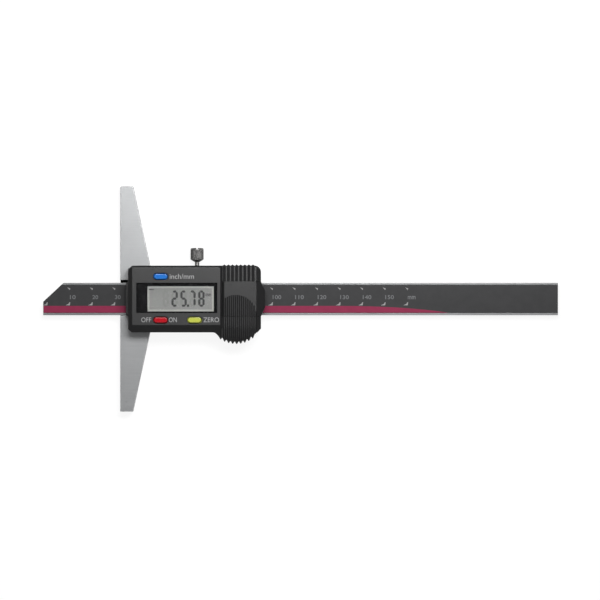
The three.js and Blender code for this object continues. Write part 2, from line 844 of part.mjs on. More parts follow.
// Housing screw with a cross recess, its head down in the channel's back.
function housingScrew() {
  const headTop = screwSink + screwHeadHeight;
  const arm = (length, width) => block(
    [-length / 2, length / 2], [-width / 2, width / 2], [screwSink - overrun, screwSink + crossDepth],
  );
  return cut(
    join(
      rod('xy', 0, 0, screwHeadRadius, screwSink, headTop, flatSides),
      rod('xy', 0, 0, screwShankRadius, headTop, frameTop + screwReach),
    ),
    arm(crossLength, crossWidth),
    arm(crossWidth, crossLength),
  );
}

function frameAssembly() {
  const gib = block(
    [gibEndInset, gibEnd], [beamHalf + slideGap, slotUpper - slideGap], [beamBottom, beamTop],
  );
  const sides = ['left', 'right'];
  const group = new THREE.Group();
  group.add(
    piece('base_frame', baseFrame(), 'groundSteel'),
    piece('gib_strip', gib, 'brass'),
    ...setScrewPlaces.map((x, i) => placed(
      piece(`gib_set_screw_${sides[i]}`, setScrew(), 'darkSteel'), x, slotUpper, beamMiddle,
    )),
    placed(piece('lock_screw', lockScrew(), 'nickel'), lockX, 0, beamMiddle),
    ...screwPlaces.map(([x, y], i) => placed(
      piece(`housing_screw_${i + 1}`, housingScrew(), 'darkSteel'), x, y, 0,
    )),
  );
  return group;
}

function headAssembly() {
  const keyNames = ['inch_mm', 'on_off', 'zero'];
  const keyFinishes = ['keyBlue', 'keyRed', 'keyYellow'];
  const cap = geometryOf(keyCap());
  const plunger = geometryOf(keyPlunger());
  const cell = rod('xy', cellX, 0, cellRadius, cellBottom, cellBottom + cellThick, 2 * flatSides);
  const group = new THREE.Group();
  group.add(
    piece('main_board', mainBoard(), 'boardGreen'),
    ...displayPieces(),
    piece('front_housing', frontHousing(), 'blackPlastic'),
    ...keyPlaces.flatMap(([x, y], i) => [
      placed(piece(`${keyNames[i]}_button`, cap, keyFinishes[i]), x, y, 0),
      placed(piece(`${keyNames[i]}_plunger`, plunger, 'rubberGrey'), x, y, 0),
    ]),
    piece('coin_cell', cell, 'nickel'),
    placed(piece('cell_contact_negative', negativeContact(), 'nickel'), cellX, 0, 0),
    piece('cell_contact_positive', positiveContact(), 'nickel'),
    piece('battery_cover', batteryCover(), 'blackPlastic'),
  );
  return group;
}

const gauge = new THREE.Group();
gauge.add(frameAssembly(), beamAssembly(), headAssembly());

export default gauge;
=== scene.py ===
"""Looks of a digital depth gauge, dressed around its packed construction.

The gauge lies on its back on a white table: X runs along the beam, Y across it towards the lock
screw, Z up towards the display. Shapes are made in millimetres and handed over in metres.
"""

import logging
import math
from collections.abc import Callable, Iterable
from dataclasses import dataclass
from enum import Enum

import bmesh
import bpy
from mathutils import Matrix, Vector


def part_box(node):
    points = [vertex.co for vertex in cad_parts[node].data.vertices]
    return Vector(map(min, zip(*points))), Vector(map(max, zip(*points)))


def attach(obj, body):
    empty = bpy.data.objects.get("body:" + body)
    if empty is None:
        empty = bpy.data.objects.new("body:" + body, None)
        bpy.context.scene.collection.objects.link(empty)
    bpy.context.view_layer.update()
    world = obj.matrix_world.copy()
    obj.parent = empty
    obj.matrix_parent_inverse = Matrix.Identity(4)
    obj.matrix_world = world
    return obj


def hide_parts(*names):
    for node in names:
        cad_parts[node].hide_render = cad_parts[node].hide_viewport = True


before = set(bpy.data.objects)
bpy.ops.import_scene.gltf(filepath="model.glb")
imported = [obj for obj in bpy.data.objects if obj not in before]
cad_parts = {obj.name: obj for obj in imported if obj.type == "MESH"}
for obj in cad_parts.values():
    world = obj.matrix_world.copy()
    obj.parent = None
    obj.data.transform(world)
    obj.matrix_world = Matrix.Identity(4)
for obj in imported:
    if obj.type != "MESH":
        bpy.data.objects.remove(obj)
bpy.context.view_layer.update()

log = logging.getLogger("depth_gauge")

MM = 0.001  # metres in a millimetre
QUARTER = math.pi / 2
MERGE = 0.0005  # corners closer than this are one corner
WORN = "worn"  # the attribute that marks rounded edges, which handling polishes

UP = Vector((0, 0, 1))
OVER = 1.0  # how far shapes reach into or past each other where they are joined or cut
PRINT = 0.02  # thickness of printed ink
BOARD_MARGIN = 2.1  # from the circuit board out to the housing's face
KEY_NAMES = ("inch_mm", "on_off", "zero")  # how the names of the keys' nodes begin
VIEW_INSET = (4.97, 1.47, 0.71, 1.42)  # width of the window's border: left, right, lower, upper
NOISE_CORE = (0.3, 0.7)  # nearly all of a noise's values lie between these
NOISE_ROUGHNESS = 0.6  # strength of each finer layer of a noise, as a share of the one before
WEAR = (0.1, 1.0)  # how worn the rounded edges are, from patch to patch
SRGB_TOE = 0.04045  # up to this level the sRGB curve is a straight line
SRGB_SLOPE = 12.92
SRGB_LIFT = 0.055
SRGB_POWER = 2.4

Point = tuple[float, float]  # two coordinates, or the two ends of a span
Place = tuple[float, float, float]
Node, Tree, Socket = bpy.types.Node, bpy.types.NodeTree, bpy.types.NodeSocket
Face, Edge = bmesh.types.BMFace, bmesh.types.BMEdge
Pick = Callable[[Edge], bool]


def linear(code: str) -> tuple[float, float, float, float]:
    """Turns an sRGB hex colour into the linear colour that a shader takes.

    Args:
        code: The colour as "#rrggbb".

    Returns:
        Red, green, blue and an alpha of 1.
    """
    levels = [int(code[place:place + 2], 16) / 255 for place in (1, 3, 5)]
    parts = [
        level / SRGB_SLOPE if level <= SRGB_TOE else ((level + SRGB_LIFT) / (1 + SRGB_LIFT)) ** SRGB_POWER
        for level in levels
    ]
    return (*parts, 1.0)


def socket(sockets: bpy.types.bpy_prop_collection, name: str) -> Socket:
    """Finds a node's socket by its identifier, or else by its name."""
    return next((one for one in sockets if one.identifier == name), None) or sockets[name]


def add(
    tree: Tree,
    kind: str,
    settings: dict[str, object] | None = None,
    links: dict[str, Socket] | None = None,
) -> Node:
    """Adds a node to a tree.

    Args:
        tree: The material's or the world's node tree.
        kind: The node's type.
        settings: Values for the node's properties and unlinked inputs, by name.
        links: Outputs of other nodes, by the name of the input that takes them.

    Returns:
        The new node.
    """
    made = tree.nodes.new(kind)
    for name, value in (settings or {}).items():
        if hasattr(made, name):
            setattr(made, name, value)
        else:
            socket(made.inputs, name).default_value = value
    for name, source in (links or {}).items():
        tree.links.new(source, socket(made.inputs, name))
    return made


def arc(centre: Point, radius: float, start: float, end: float, steps: int) -> list[Point]:
    """Points along a circle's arc.

    Args:
        centre: The circle's centre.
        radius: The circle's radius.
        start: The first angle, in radians.
        end: The last angle, in radians.
        steps: How many chords the arc has.

    Returns:
        One point more than there are chords.
    """
    angles = [start + (end - start) * step / steps for step in range(steps + 1)]
    return [(centre[0] + radius * math.cos(a), centre[1] + radius * math.sin(a)) for a in angles]


def stadium(x: float, y: float, length: float, width: float, steps: int = 12) -> list[Point]:
    """The outline of a bar with half-round ends, lying along X.

    Args:
        x: The bar's middle along X.
        y: The bar's middle along Y.
        length: Its whole length.
        width: Its width.
        steps: How many chords each round end has.

    Returns:
        The outline's corners in order.
    """
    reach = (length - width) / 2
    right = arc((x + reach, y), width / 2, -QUARTER, QUARTER, steps)
    left = arc((x - reach, y), width / 2, QUARTER, 3 * QUARTER, steps)
    return [*right, *left]


def falling(start: Point, run: float, drop: float, power: float, steps: int) -> list[Point]:
    """Points on a curve that starts level and falls ever more steeply, without its last one."""
    shares = [step / steps for step in range(steps)]
    return [(start[0] + run * share, start[1] - drop * share ** power) for share in shares]


def longer_than(length: float) -> Pick:
    """Picks the edges that are longer than a length."""
    return lambda edge: edge.calc_length() > length


def above(height: float) -> Pick:
    """Picks the edges that rise above a height."""
    return lambda edge: any(end.co.z > height for end in edge.verts)


def placed(name: str, data: bpy.types.ID) -> bpy.types.Object:
    """Makes an object of its data and puts it in the scene.

    Args:
        name: The object's name.
        data: Its mesh, curve, lamp or camera.

    Returns:
        The new object.
    """
    made = bpy.data.objects.new(name, data)
    bpy.context.scene.collection.objects.link(made)
    return made


def evaluated(thing: bpy.types.Object) -> bpy.types.Mesh:
    """The mesh that an object has after its modifiers."""
    return bpy.data.meshes.new_from_object(thing.evaluated_get(bpy.context.evaluated_depsgraph_get()))


@dataclass(frozen=True)
class Box:
    """A box in millimetres, such as the one that a CAD node fills."""

    left: float
    right: float
    lower: float
    upper: float
    bottom: float
    top: float

    @classmethod
    def of(cls, node: str) -> "Box":
        """Reads a node's box from the frame."""
        low, high = (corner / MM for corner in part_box(node))
        return cls(low.x, high.x, low.y, high.y, low.z, high.z)

    @property
    def x(self) -> float:
        """The middle along X."""
        return (self.left + self.right) / 2

    @property
    def y(self) -> float:
        """The middle along Y."""
        return (self.lower + self.upper) / 2

    @property
    def z(self) -> float:
        """The middle along Z."""
        return (self.bottom + self.top) / 2

    def drawn_in(self, left: float, right: float, lower: float, upper: float) -> "Box":
        """A box of the same height whose four sides lie further in."""
        sides = (self.left + left, self.right - right, self.lower + lower, self.upper - upper)
        return Box(*sides, self.bottom, self.top)


class Side(Enum):
    """A side of the housing's face, as the way that it looks along X and Y."""

    LEFT = (-1, 0)
    RIGHT = (1, 0)
    UPPER = (0, 1)
    LOWER = (0, -1)


class Plane(Enum):
    """The two axes that an outline lies in, then the one that it is drawn out along."""

    XY = (0, 1, 2)
    XZ = (0, 2, 1)
    YZ = (1, 2, 0)


class Solid:
    """A closed shape in millimetres, made with Blender's mesh operators."""

    def __init__(self) -> None:
        """Starts with an empty mesh."""
        self.mesh = bmesh.new()

    @classmethod
    def prism(cls, plane: Plane, outline: Iterable[Point], low: float, high: float) -> "Solid":
        """Draws an outline out into a bar.

        Args:
            plane: The plane that the outline lies in.
            outline: The outline's corners in order.
            low: Where the bar starts, across the plane.
            high: Where the bar ends.

        Returns:
            The closed bar.
        """
        made = cls()
        step = [0.0, 0.0, 0.0]
        step[plane.value[2]] = high - low
        made.draw(made.face(plane, outline, low), Vector(step))
        return made.turned_out()

    @classmethod
    def block(cls, x: Point, y: Point, z: Point) -> "Solid":
        """Makes a block.

        Args:
            x: Its two ends along X.
            y: Its two ends along Y.
            z: Its two ends along Z.

        Returns:
            The closed block.
        """
        made = cls()
        size = Vector((x[1] - x[0], y[1] - y[0], z[1] - z[0]))
        middle = Vector((x[0] + x[1], y[0] + y[1], z[0] + z[1])) / 2
        bmesh.ops.create_cube(made.mesh, size=1, matrix=Matrix.LocRotScale(middle, None, size))
        return made

    @classmethod
    def over(cls, box: Box, z: Point, margin: float = 0.0) -> "Solid":
        """Makes a block that follows a box's four sides, or lies a margin outside them."""
        x, y = (box.left - margin, box.right + margin), (box.lower - margin, box.upper + margin)
        return cls.block(x, y, z)

    @classmethod
    def turned(cls, profile: Iterable[Point], middle: Vector, along: Vector, steps: int) -> "Solid":
        """Turns a profile on a lathe.

        Args:
            profile: Radius and height of each corner, starting and ending on the axis.
            middle: The point where the height is zero.
            along: The axis, as a unit vector.
            steps: How many facets go round.

        Returns:
            The closed round shape.
        """
        made = cls()
        out = along.orthogonal().normalized()
        line = [made.mesh.verts.new(middle + out * radius + along * height) for radius, height in profile]
        edges = [made.mesh.edges.new(pair) for pair in zip(line, line[1:])]
        bmesh.ops.spin(
            made.mesh, geom=[*line, *edges], cent=middle, axis=along, angle=2 * math.pi, steps=steps,
            use_merge=True,
        )
        bmesh.ops.remove_doubles(made.mesh, verts=made.mesh.verts, dist=MERGE)
        return made.turned_out()

    @classmethod
    def post(cls, place: Point, radius: float, z: Point, steps: int) -> "Solid":
        """Makes a round post that stands upright.

        Args:
            place: Its middle along X and Y.
            radius: Its radius.
            z: Its two ends along Z.
            steps: How many facets go round.

        Returns:
            The closed post.
        """
        rise = z[1] - z[0]
        return cls.turned([(0, 0), (radius, 0), (radius, rise), (0, rise)], Vector((*place, z[0])), UP, steps)

    @classmethod
    def copy_of(cls, node: str) -> "Solid":
        """Copies a CAD node as whole faces in place of loose triangles.

        Args:
            node: The CAD node's name.

        Returns:
            Its shape in millimetres.
        """
        made = cls()
        made.mesh.from_mesh(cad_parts[node].data)
        bmesh.ops.scale(made.mesh, vec=Vector((1, 1, 1)) / MM, verts=made.mesh.verts)
        bmesh.ops.remove_doubles(made.mesh, verts=made.mesh.verts, dist=MERGE)
        bmesh.ops.dissolve_limit(
            made.mesh, angle_limit=math.radians(1), verts=made.mesh.verts, edges=made.mesh.edges,
        )
        return made

    def face(self, plane: Plane, outline: Iterable[Point], height: float) -> Face:
        """Adds one face.

        Args:
            plane: The plane that the outline lies in.
            outline: The outline's corners in order.
            height: The face's place across that plane.

        Returns:
            The new face.
        """
        corners = []
        for first, second in outline:
            place = [0.0, 0.0, 0.0]
            place[plane.value[0]] = first
            place[plane.value[1]] = second
            place[plane.value[2]] = height
            corners.append(self.mesh.verts.new(place))
        return self.mesh.faces.new(corners)

    def draw(self, face: Face, step: Vector) -> Face:
        """Draws a face out in a straight line.

        Args:
            face: The face at the line's start.
            step: How far it is drawn, and which way.

        Returns:
            The face at the line's end.
        """
        inside = all(edge.is_manifold for edge in face.edges)
        drawn = bmesh.ops.extrude_face_region(self.mesh, geom=[face])["geom"]
        if inside:
            bmesh.ops.delete(self.mesh, geom=[face], context="FACES_ONLY")
        corners = [part for part in drawn if isinstance(part, bmesh.types.BMVert)]
        bmesh.ops.translate(self.mesh, verts=corners, vec=step)
        return next(part for part in drawn if isinstance(part, Face))

    def swing(self, face: Face, centre: Vector, axis: Vector, angle: float, steps: int) -> Face:
        """Draws a face out round a bend.

        Args:
            face: The face at the bend's start.
            centre: A point on the bend's axis.
            axis: The direction of the bend's axis.
            angle: How far the face turns, in radians.
            steps: How many straight pieces the bend has.

        Returns:
            The face at the bend's end.
        """
        parts = [face, *face.edges, *face.verts]
        turned = bmesh.ops.spin(self.mesh, geom=parts, cent=centre, axis=axis, angle=angle, steps=steps)
        return next(part for part in turned["geom_last"] if isinstance(part, Face))

    def inset(self, face: Face, inward: float, upward: float) -> None:
        """Draws a face in from its sides and out along its normal, with a ring of faces round it."""
        bmesh.ops.inset_region(
            self.mesh, faces=[face], thickness=inward, depth=upward, use_even_offset=True,
        )

    def highest(self) -> Face:
        """Finds the face that lies highest."""
        return max(self.mesh.faces, key=lambda face: face.calc_center_median().z)

    def turned_out(self) -> "Solid":
        """Points every face outwards."""
        bmesh.ops.recalc_face_normals(self.mesh, faces=self.mesh.faces)
        return self

    def slice(self, point: Place, normal: Place) -> "Solid":
        """Cuts off what lies on one side of a plane and closes the cut.

        Args:
            point: A point on the plane.
            normal: The plane's normal, which points to the side that goes.

        Returns:
            The same solid without that side.
        """
        parts = [*self.mesh.verts, *self.mesh.edges, *self.mesh.faces]
        cut = bmesh.ops.bisect_plane(
            self.mesh, geom=parts, dist=MERGE, plane_co=point, plane_no=normal, clear_outer=True,
        )
        rim = [part for part in cut["geom_cut"] if isinstance(part, Edge)]
        bmesh.ops.contextual_create(self.mesh, geom=rim)
        return self.turned_out()

    def soften(
        self,
        width: float,
        segments: int = 2,
        pick: Pick = lambda edge: True,
        least: float = 30,
    ) -> "Solid":
        """Rounds off hard edges.

        Args:
            width: How far the rounding reaches from each edge.
            segments: How many facets it has.
            pick: Says which of the hard edges are rounded.
            least: The smallest angle between two faces, in degrees, that makes an edge hard.

        Returns:
            The same solid, with the rounding marked as the place that wears.
        """
        marks = self.mesh.faces.layers.float
        worn = marks.get(WORN) or marks.new(WORN)
        hard = [
            edge for edge in self.mesh.edges
            if edge.is_manifold and edge.calc_face_angle() > math.radians(least) and pick(edge)
        ]
        rounded = bmesh.ops.bevel(
            self.mesh, geom=hard, offset=width, offset_type="OFFSET", segments=segments, profile=0.5,
            affect="EDGES", clamp_overlap=True, material=-1,
        )
        for face in rounded["faces"]:
            face[worn] = 1.0
        return self

    def shift(self, x: float = 0, y: float = 0, z: float = 0) -> "Solid":
        """Moves the whole solid."""
        bmesh.ops.translate(self.mesh, verts=self.mesh.verts, vec=(x, y, z))
        return self

    def with_loose(self, *others: "Solid") -> "Solid":
        """Adds solids that don't touch this one.

        Args:
            *others: The other solids, which stay as they are.

        Returns:
            The same solid with more bodies in its mesh.
        """
        for other in others:
            spare = bpy.data.meshes.new("spare")
            other.mesh.to_mesh(spare)
            self.mesh.from_mesh(spare)
            bpy.data.meshes.remove(spare)
        return self

    def combined(self, other: "Solid", operation: str) -> "Solid":
        """Joins, cuts or intersects with another solid.

        Args:
            other: The other solid, which stays as it is.
            operation: The Boolean modifier's operation.

        Returns:
            The same solid with its new shape.
        """
        pair = []
        for solid in (self, other):
            mesh = bpy.data.meshes.new("spare")
            solid.mesh.to_mesh(mesh)
            pair.append(placed("spare", mesh))
        modifier = pair[0].modifiers.new("combine", "BOOLEAN")
        modifier.operation = operation
        modifier.solver = "MANIFOLD"
        modifier.object = pair[1]
        result = evaluated(pair[0])
        if not result.polygons:
            raise ValueError(f"{operation} left nothing")
        self.mesh.clear()
        self.mesh.from_mesh(result)
        for spare in pair:
            mesh = spare.data
            bpy.data.objects.remove(spare)
            bpy.data.meshes.remove(mesh)
        bpy.data.meshes.remove(result)
        bmesh.ops.remove_doubles(self.mesh, verts=self.mesh.verts, dist=MERGE)
        return self

    def join(self, *others: "Solid") -> "Solid":
        """Joins other solids to this one.

        Args:
            *others: The solids to join, in this order.

        Returns:
            The same solid.
        """
        for other in others:
            self.combined(other, "UNION")
        return self

    def cut(self, *others: "Solid") -> "Solid":
        """Cuts other solids out of this one.

        Args:
            *others: The solids to cut out, in this order.

        Returns:
            The same solid.
        """
        for other in others:
            self.combined(other, "DIFFERENCE")
        return self

    def common(self, other: "Solid") -> "Solid":
        """Keeps what this solid and another share."""
        return self.combined(other, "INTERSECT")

    def piece(
        self,
        name: str,
        body: str,
        finish: "Finish",
        slot: str,
        stands_for: tuple[str, ...] = (),
        smooth: float = 32,
    ) -> bpy.types.Object:
        """Makes the solid a piece of the gauge.

        Args:
            name: The piece's name.
            body: The moving body that it rides on.
            finish: What its surface is made of.
            slot: The name of a material slot; not used.
            stands_for: The CAD nodes that it replaces.
            smooth: Faces that meet at less than this angle, in degrees, shade as one surface.

        Returns:
            The piece, with its place in its mesh.
        """
        mesh = bpy.data.meshes.new(name)
        self.mesh.to_mesh(mesh)
        mesh.transform(Matrix.Scale(MM, 4))
        mesh.materials.append(finish.material())
        mesh.polygons.foreach_set("use_smooth", [True] * len(mesh.polygons))
        mesh.set_sharp_from_angle(angle=math.radians(smooth))
        made = placed(name, mesh)
        even = made.modifiers.new("even_shading", "WEIGHTED_NORMAL")
        even.keep_sharp = True
        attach(made, body)
        if stands_for:
            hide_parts(*stands_for)
        log.info("%s rides on %s: %d faces", name, body, len(mesh.polygons))
        return made


def dress(finish: "Finish", *nodes: str) -> None:
    """Gives CAD nodes whose shape stays as it is their finish.

    Args:
        finish: What their surface is made of.
        *nodes: The CAD nodes' names.
    """
    for node in nodes:
        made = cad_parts[node]
        made.data.materials.clear()
        made.data.materials.append(finish.material())
        log.info("%s keeps its shape and gets %s", node, finish.name)


def remade(
    node: str, name: str, body: str, finish: "Finish", slot: str, edge: float = 0.0, segments: int = 2,
) -> None:
    """Makes a piece in a CAD node's own shape, with its hard edges rounded.

    Args:
        node: The CAD node that it replaces.
        name: The piece's name.
        body: The moving body that it rides on.
        finish: What its surface is made of.
        slot: The record's material slot.
        edge: How far the rounding reaches from each edge.
        segments: How many facets the rounding has.
    """
    shape = Solid.copy_of(node)
    if edge:
        shape.soften(edge, segments)
    shape.piece(name, body, finish, slot, (node,))


@dataclass(frozen=True)
class Lettering:
    """A word and the space that it fills, in millimetres."""

    text: str
    left: float
    right: float
    base: float
    height: float

    def solid(self, low: float, high: float, weight: float = 0.0) -> Solid:
        """Makes the word a thin raised print.

        Args:
            low: The height of the surface that it is printed on.
            high: The height of the print's face.
            weight: How far the strokes are thickened, as a share of the letters' height.

        Returns:
            The print's solid.
        """
        curve = bpy.data.curves.new("lettering", "FONT")
        curve.body = self.text
        curve.size = 1
        curve.extrude = 0.5
        curve.offset = weight
        curve.resolution_u = 4
        written = placed("lettering", curve)
        mesh = evaluated(written)
        made = Solid()
        made.mesh.from_mesh(mesh)
        bmesh.ops.remove_doubles(made.mesh, verts=made.mesh.verts, dist=MERGE)
        bpy.data.objects.remove(written)
        bpy.data.curves.remove(curve)
        bpy.data.meshes.remove(mesh)
        corners = [corner.co for corner in made.mesh.verts]
        first = Vector(min(corner[axis] for corner in corners) for axis in range(3))
        last = Vector(max(corner[axis] for corner in corners) for axis in range(3))
        size = Vector((self.right - self.left, self.height, high - low))
        stretch = Vector(size[axis] / (last[axis] - first[axis]) for axis in range(3))
        bmesh.ops.translate(made.mesh, verts=made.mesh.verts, vec=-first)
        bmesh.ops.scale(made.mesh, vec=stretch, verts=made.mesh.verts)
        return made.shift(self.left, self.base, low)


@dataclass(frozen=True)
class Finish:
    """What a surface is made of, in its plainest form."""

    name: str
    colour: str
    roughness: float
    metallic: float = 0.0
    ior: float = 1.5
    tones: Point = (1.0, 1.0)  # the colour's darkest and lightest share of itself
    gloss: Point = (1.0, 1.0)  # the roughness's least and greatest share of itself
    depth: float = 0.0  # of the relief, in millimetres

    def material(self) -> bpy.types.Material:
        """Makes the finish's material, or finds it if another piece has it already.

        Returns:
            The material.
        """
        known = bpy.data.materials.get(self.name)
        if known:
            return known
        made = bpy.data.materials.new(self.name)
        made.use_nodes = True
        shader = made.node_tree.nodes["Principled BSDF"]
        shader.inputs["Base Color"].default_value = linear(self.colour)
        shader.inputs["Roughness"].default_value = self.roughness
        shader.inputs["Metallic"].default_value = self.metallic
        shader.inputs["IOR"].default_value = self.ior
        self.pattern(made.node_tree, shader)
        return made

    def pattern(self, tree: Tree, shader: Node) -> None:
        """Adds what breaks the surface up. The plain finish adds nothing."""

    def noise(self, tree: Tree, size: float | Place, detail: float = 3) -> Socket:
        """A noise whose grains have a real size.

        Args:
            tree: The material's node tree.
            size: A grain's length in millimetres, one for all axes or one for each.
            detail: How many finer layers the noise has.

        Returns:
            The noise, from 0 to 1.
        """
        place = add(tree, "ShaderNodeTexCoord").outputs["Object"]
        lengths = size if isinstance(size, tuple) else (size, size, size)
        scale = tuple(1 / (length * MM) for length in lengths)
        laid = add(tree, "ShaderNodeMapping", {"Scale": scale}, {"Vector": place}).outputs["Vector"]
        layers = {"Scale": 1.0, "Detail": detail, "Roughness": NOISE_ROUGHNESS}
        return add(tree, "ShaderNodeTexNoise", layers, {"Vector": laid}).outputs["Fac"]

    def sum_of(self, tree: Tree, first: Socket, share: float, second: Socket | float) -> Socket:
        """Adds a share of one value to another.

        Args:
            tree: The material's node tree.
            first: The value that is scaled.
            share: What it is scaled by.
            second: The value that it is added to.

        Returns:
            The sum.
        """
        settings = {"operation": "MULTIPLY_ADD", "Value_001": share}
        links = {"Value": first}
        if isinstance(second, float):
            settings["Value_002"] = second
        else:
            links["Value_002"] = second
        return add(tree, "ShaderNodeMath", settings, links).outputs[0]

    def tint(self, tree: Tree, fac: Socket) -> Socket:
        """The finish's colour, between its darkest and its lightest share.

        Args:
            tree: The material's node tree.
            fac: The noise that it follows.

        Returns:
            The colour.
        """
        ramp = add(tree, "ShaderNodeValToRGB", links={"Fac": fac})
        own = linear(self.colour)
        for stop, position, share in zip(ramp.color_ramp.elements, NOISE_CORE, self.tones):
            stop.position = position
            stop.color = (*(part * share for part in own[:3]), 1.0)
        return ramp.outputs["Color"]

    def between(self, tree: Tree, fac: Socket, low: float, high: float) -> Socket:
        """Spreads a noise from one value to another."""
        spread = {"From Min": NOISE_CORE[0], "From Max": NOISE_CORE[1], "To Min": low, "To Max": high}
        return add(tree, "ShaderNodeMapRange", spread, {"Value": fac}).outputs["Result"]

    def dulled(self, tree: Tree, fac: Socket) -> Socket:
        """The finish's roughness, between its least and its greatest share."""
        return self.between(tree, fac, *(self.roughness * share for share in self.gloss))

    def rubbed(self, tree: Tree, patch: float) -> Socket:
        """How much handling has polished the surface: only its rounded edges, in uneven patches.

        Args:
            tree: The material's node tree.
            patch: The patches' size, in millimetres.

        Returns:
            A factor from 0 to 1.
        """
        edges = add(tree, "ShaderNodeAttribute", {"attribute_name": WORN}).outputs["Fac"]
        patches = self.between(tree, self.noise(tree, patch, detail=4), *WEAR)
        both = {"Value": edges, "Value_001": patches}
        return add(tree, "ShaderNodeMath", {"operation": "MULTIPLY", "use_clamp": True}, both).outputs[0]

    def blended(self, tree: Tree, fac: Socket, base: Socket, colour: str) -> Socket:
        """Goes from a colour socket to a fixed colour as the factor rises."""
        settings = {"data_type": "RGBA", "B_Color": linear(colour)}
        return add(tree, "ShaderNodeMix", settings, {"Factor_Float": fac, "A_Color": base}).outputs[2]

    def relief(self, tree: Tree, height: Socket) -> Socket:
        """The normal of a surface whose relief has the finish's real depth."""
        settings = {"Strength": 1.0, "Distance": self.depth * MM}
        return add(tree, "ShaderNodeBump", settings, {"Height": height}).outputs["Normal"]

    def wire(
        self,
        tree: Tree,
        shader: Node,
        tone: Socket | None = None,
        rough: Socket | None = None,
        height: Socket | None = None,
    ) -> None:
        """Lets the shader's colour, roughness and relief follow noises, and leaves the rest plain.

        Args:
            tree: The material's node tree.
            shader: The material's shader.
            tone: The noise that the colour follows.
            rough: The noise that the roughness follows.
            height: The noise that stands out as relief.
        """
        if tone:
            tree.links.new(self.tint(tree, tone), shader.inputs["Base Color"])
        if rough:
            tree.links.new(self.dulled(tree, rough), shader.inputs["Roughness"])
        if height:
            tree.links.new(self.relief(tree, height), shader.inputs["Normal"])


@dataclass(frozen=True)
class Slot:
    """A slot along X, in millimetres: the middle between its walls, its half width and its rim's height."""

    middle: float
    half: float
    rim: float


@dataclass(frozen=True)
class GroundSteel(Finish):
    """Metal ground along X: fine straight marks that blur what it mirrors."""

    metallic: float = 1.0
    tones: Point = (0.9, 1.1)
    gloss: Point = (0.85, 1.15)
    depth: float = 0.002
    mark: float = 0.2  # across a mark, drawn coarser than grit leaves it so that it shows
    length: float = 14.0
    polished: str = "#d6d7d8"
    patch: float = 8.0  # size of the polished patches, in marks
    cloud_share: float = 0.3  # how much of the pattern is broad clouds
    # a slot that gets painted shade, darker between its walls and below its rim
    greased: Slot | None = None
    fade: float = 0.15  # where the painted shade thins out along the slot's edges

    def grease(self, tree: Tree) -> Socket:
        """Where painted shade darkens a slot: between its walls and below its rim.

        Args:
            tree: The material's node tree.

        Returns:
            A factor from 0 to 1.
        """
        place = add(tree, "ShaderNodeTexCoord").outputs["Object"]
        split = add(tree, "ShaderNodeSeparateXYZ", links={"Vector": place})
        middle = {"operation": "SUBTRACT", "Value_001": self.greased.middle * MM}
        across = add(tree, "ShaderNodeMath", middle, {"Value": split.outputs["Y"]}).outputs[0]
        away = add(tree, "ShaderNodeMath", {"operation": "ABSOLUTE"}, {"Value": across}).outputs[0]
        masks = []
        for source, limit in ((away, self.greased.half), (split.outputs["Z"], self.greased.rim)):
            near, far = (limit - self.fade) * MM, limit * MM
            edge = {"From Min": near, "From Max": far, "To Min": 1.0, "To Max": 0.0}
            masks.append(add(tree, "ShaderNodeMapRange", edge, {"Value": source}).outputs["Result"])
        both = {"Value": masks[0], "Value_001": masks[1]}
        return add(tree, "ShaderNodeMath", {"operation": "MULTIPLY"}, both).outputs[0]

    def pattern(self, tree: Tree, shader: Node) -> None:
        """Lays grinding marks over colour, roughness and relief, with faint broad clouds and painted shade in
        a slot.

        Args:
            tree: The material's node tree.
            shader: The material's shader.
        """
        marks = self.noise(tree, (self.length, self.mark, self.mark), detail=5)
        clouds = self.sum_of(tree, self.noise(tree, self.length, detail=2), self.cloud_share, 0.0)
        both = self.sum_of(tree, marks, 1 - self.cloud_share, clouds)
        tone = self.tint(tree, both)
        tone = self.blended(tree, self.rubbed(tree, self.mark * self.patch), tone, self.polished)
        # painted shade: the slot is darkened where shade falls
        if self.greased:
            tone = self.blended(tree, self.grease(tree), tone, SLOT_SHADE)
        tree.links.new(tone, shader.inputs["Base Color"])
        self.wire(tree, shader, rough=marks, height=marks)


@dataclass(frozen=True)
class PlatedMetal(Finish):
    """Nickel over turned steel: bright, with a little haze from handling."""

    metallic: float = 1.0
    tones: Point = (0.9, 1.05)
    gloss: Point = (0.8, 1.3)
    depth: float = 0.004
    haze: float = 1.2

    def pattern(self, tree: Tree, shader: Node) -> None:
        """Breaks up the mirror with haze and a fine relief.

        Args:
            tree: The material's node tree.
            shader: The material's shader.
        """
        haze = self.noise(tree, self.haze, detail=4)
        self.wire(tree, shader, haze, haze, haze)


@dataclass(frozen=True)
class MouldedPlastic(Finish):
    """ABS from a spark-eroded mould: an even fine grain that spreads the light softly."""

    tones: Point = (0.92, 1.08)
    gloss: Point = (0.9, 1.1)
    depth: float = 0.012
    grain: float = 0.28  # drawn about twice as coarse as the mould's, so that it shows
    flow: Place = (9.0, 6.0, 6.0)  # size of the flow marks
    polish: float = 0.35  # the share of the roughness that handling takes off the edges
    patch: float = 3.0  # size of the polished patches

    def pattern(self, tree: Tree, shader: Node) -> None:
        """Lays the mould's grain over roughness and relief, and slight flow marks over colour.

        Args:
            tree: The material's node tree.
            shader: The material's shader.
        """
        grain = self.noise(tree, self.grain, detail=4)
        less = -self.roughness * self.polish
        smoother = self.sum_of(tree, self.rubbed(tree, self.patch), less, self.dulled(tree, grain))
        tree.links.new(smoother, shader.inputs["Roughness"])
        self.wire(tree, shader, tone=self.noise(tree, self.flow, detail=2), height=grain)


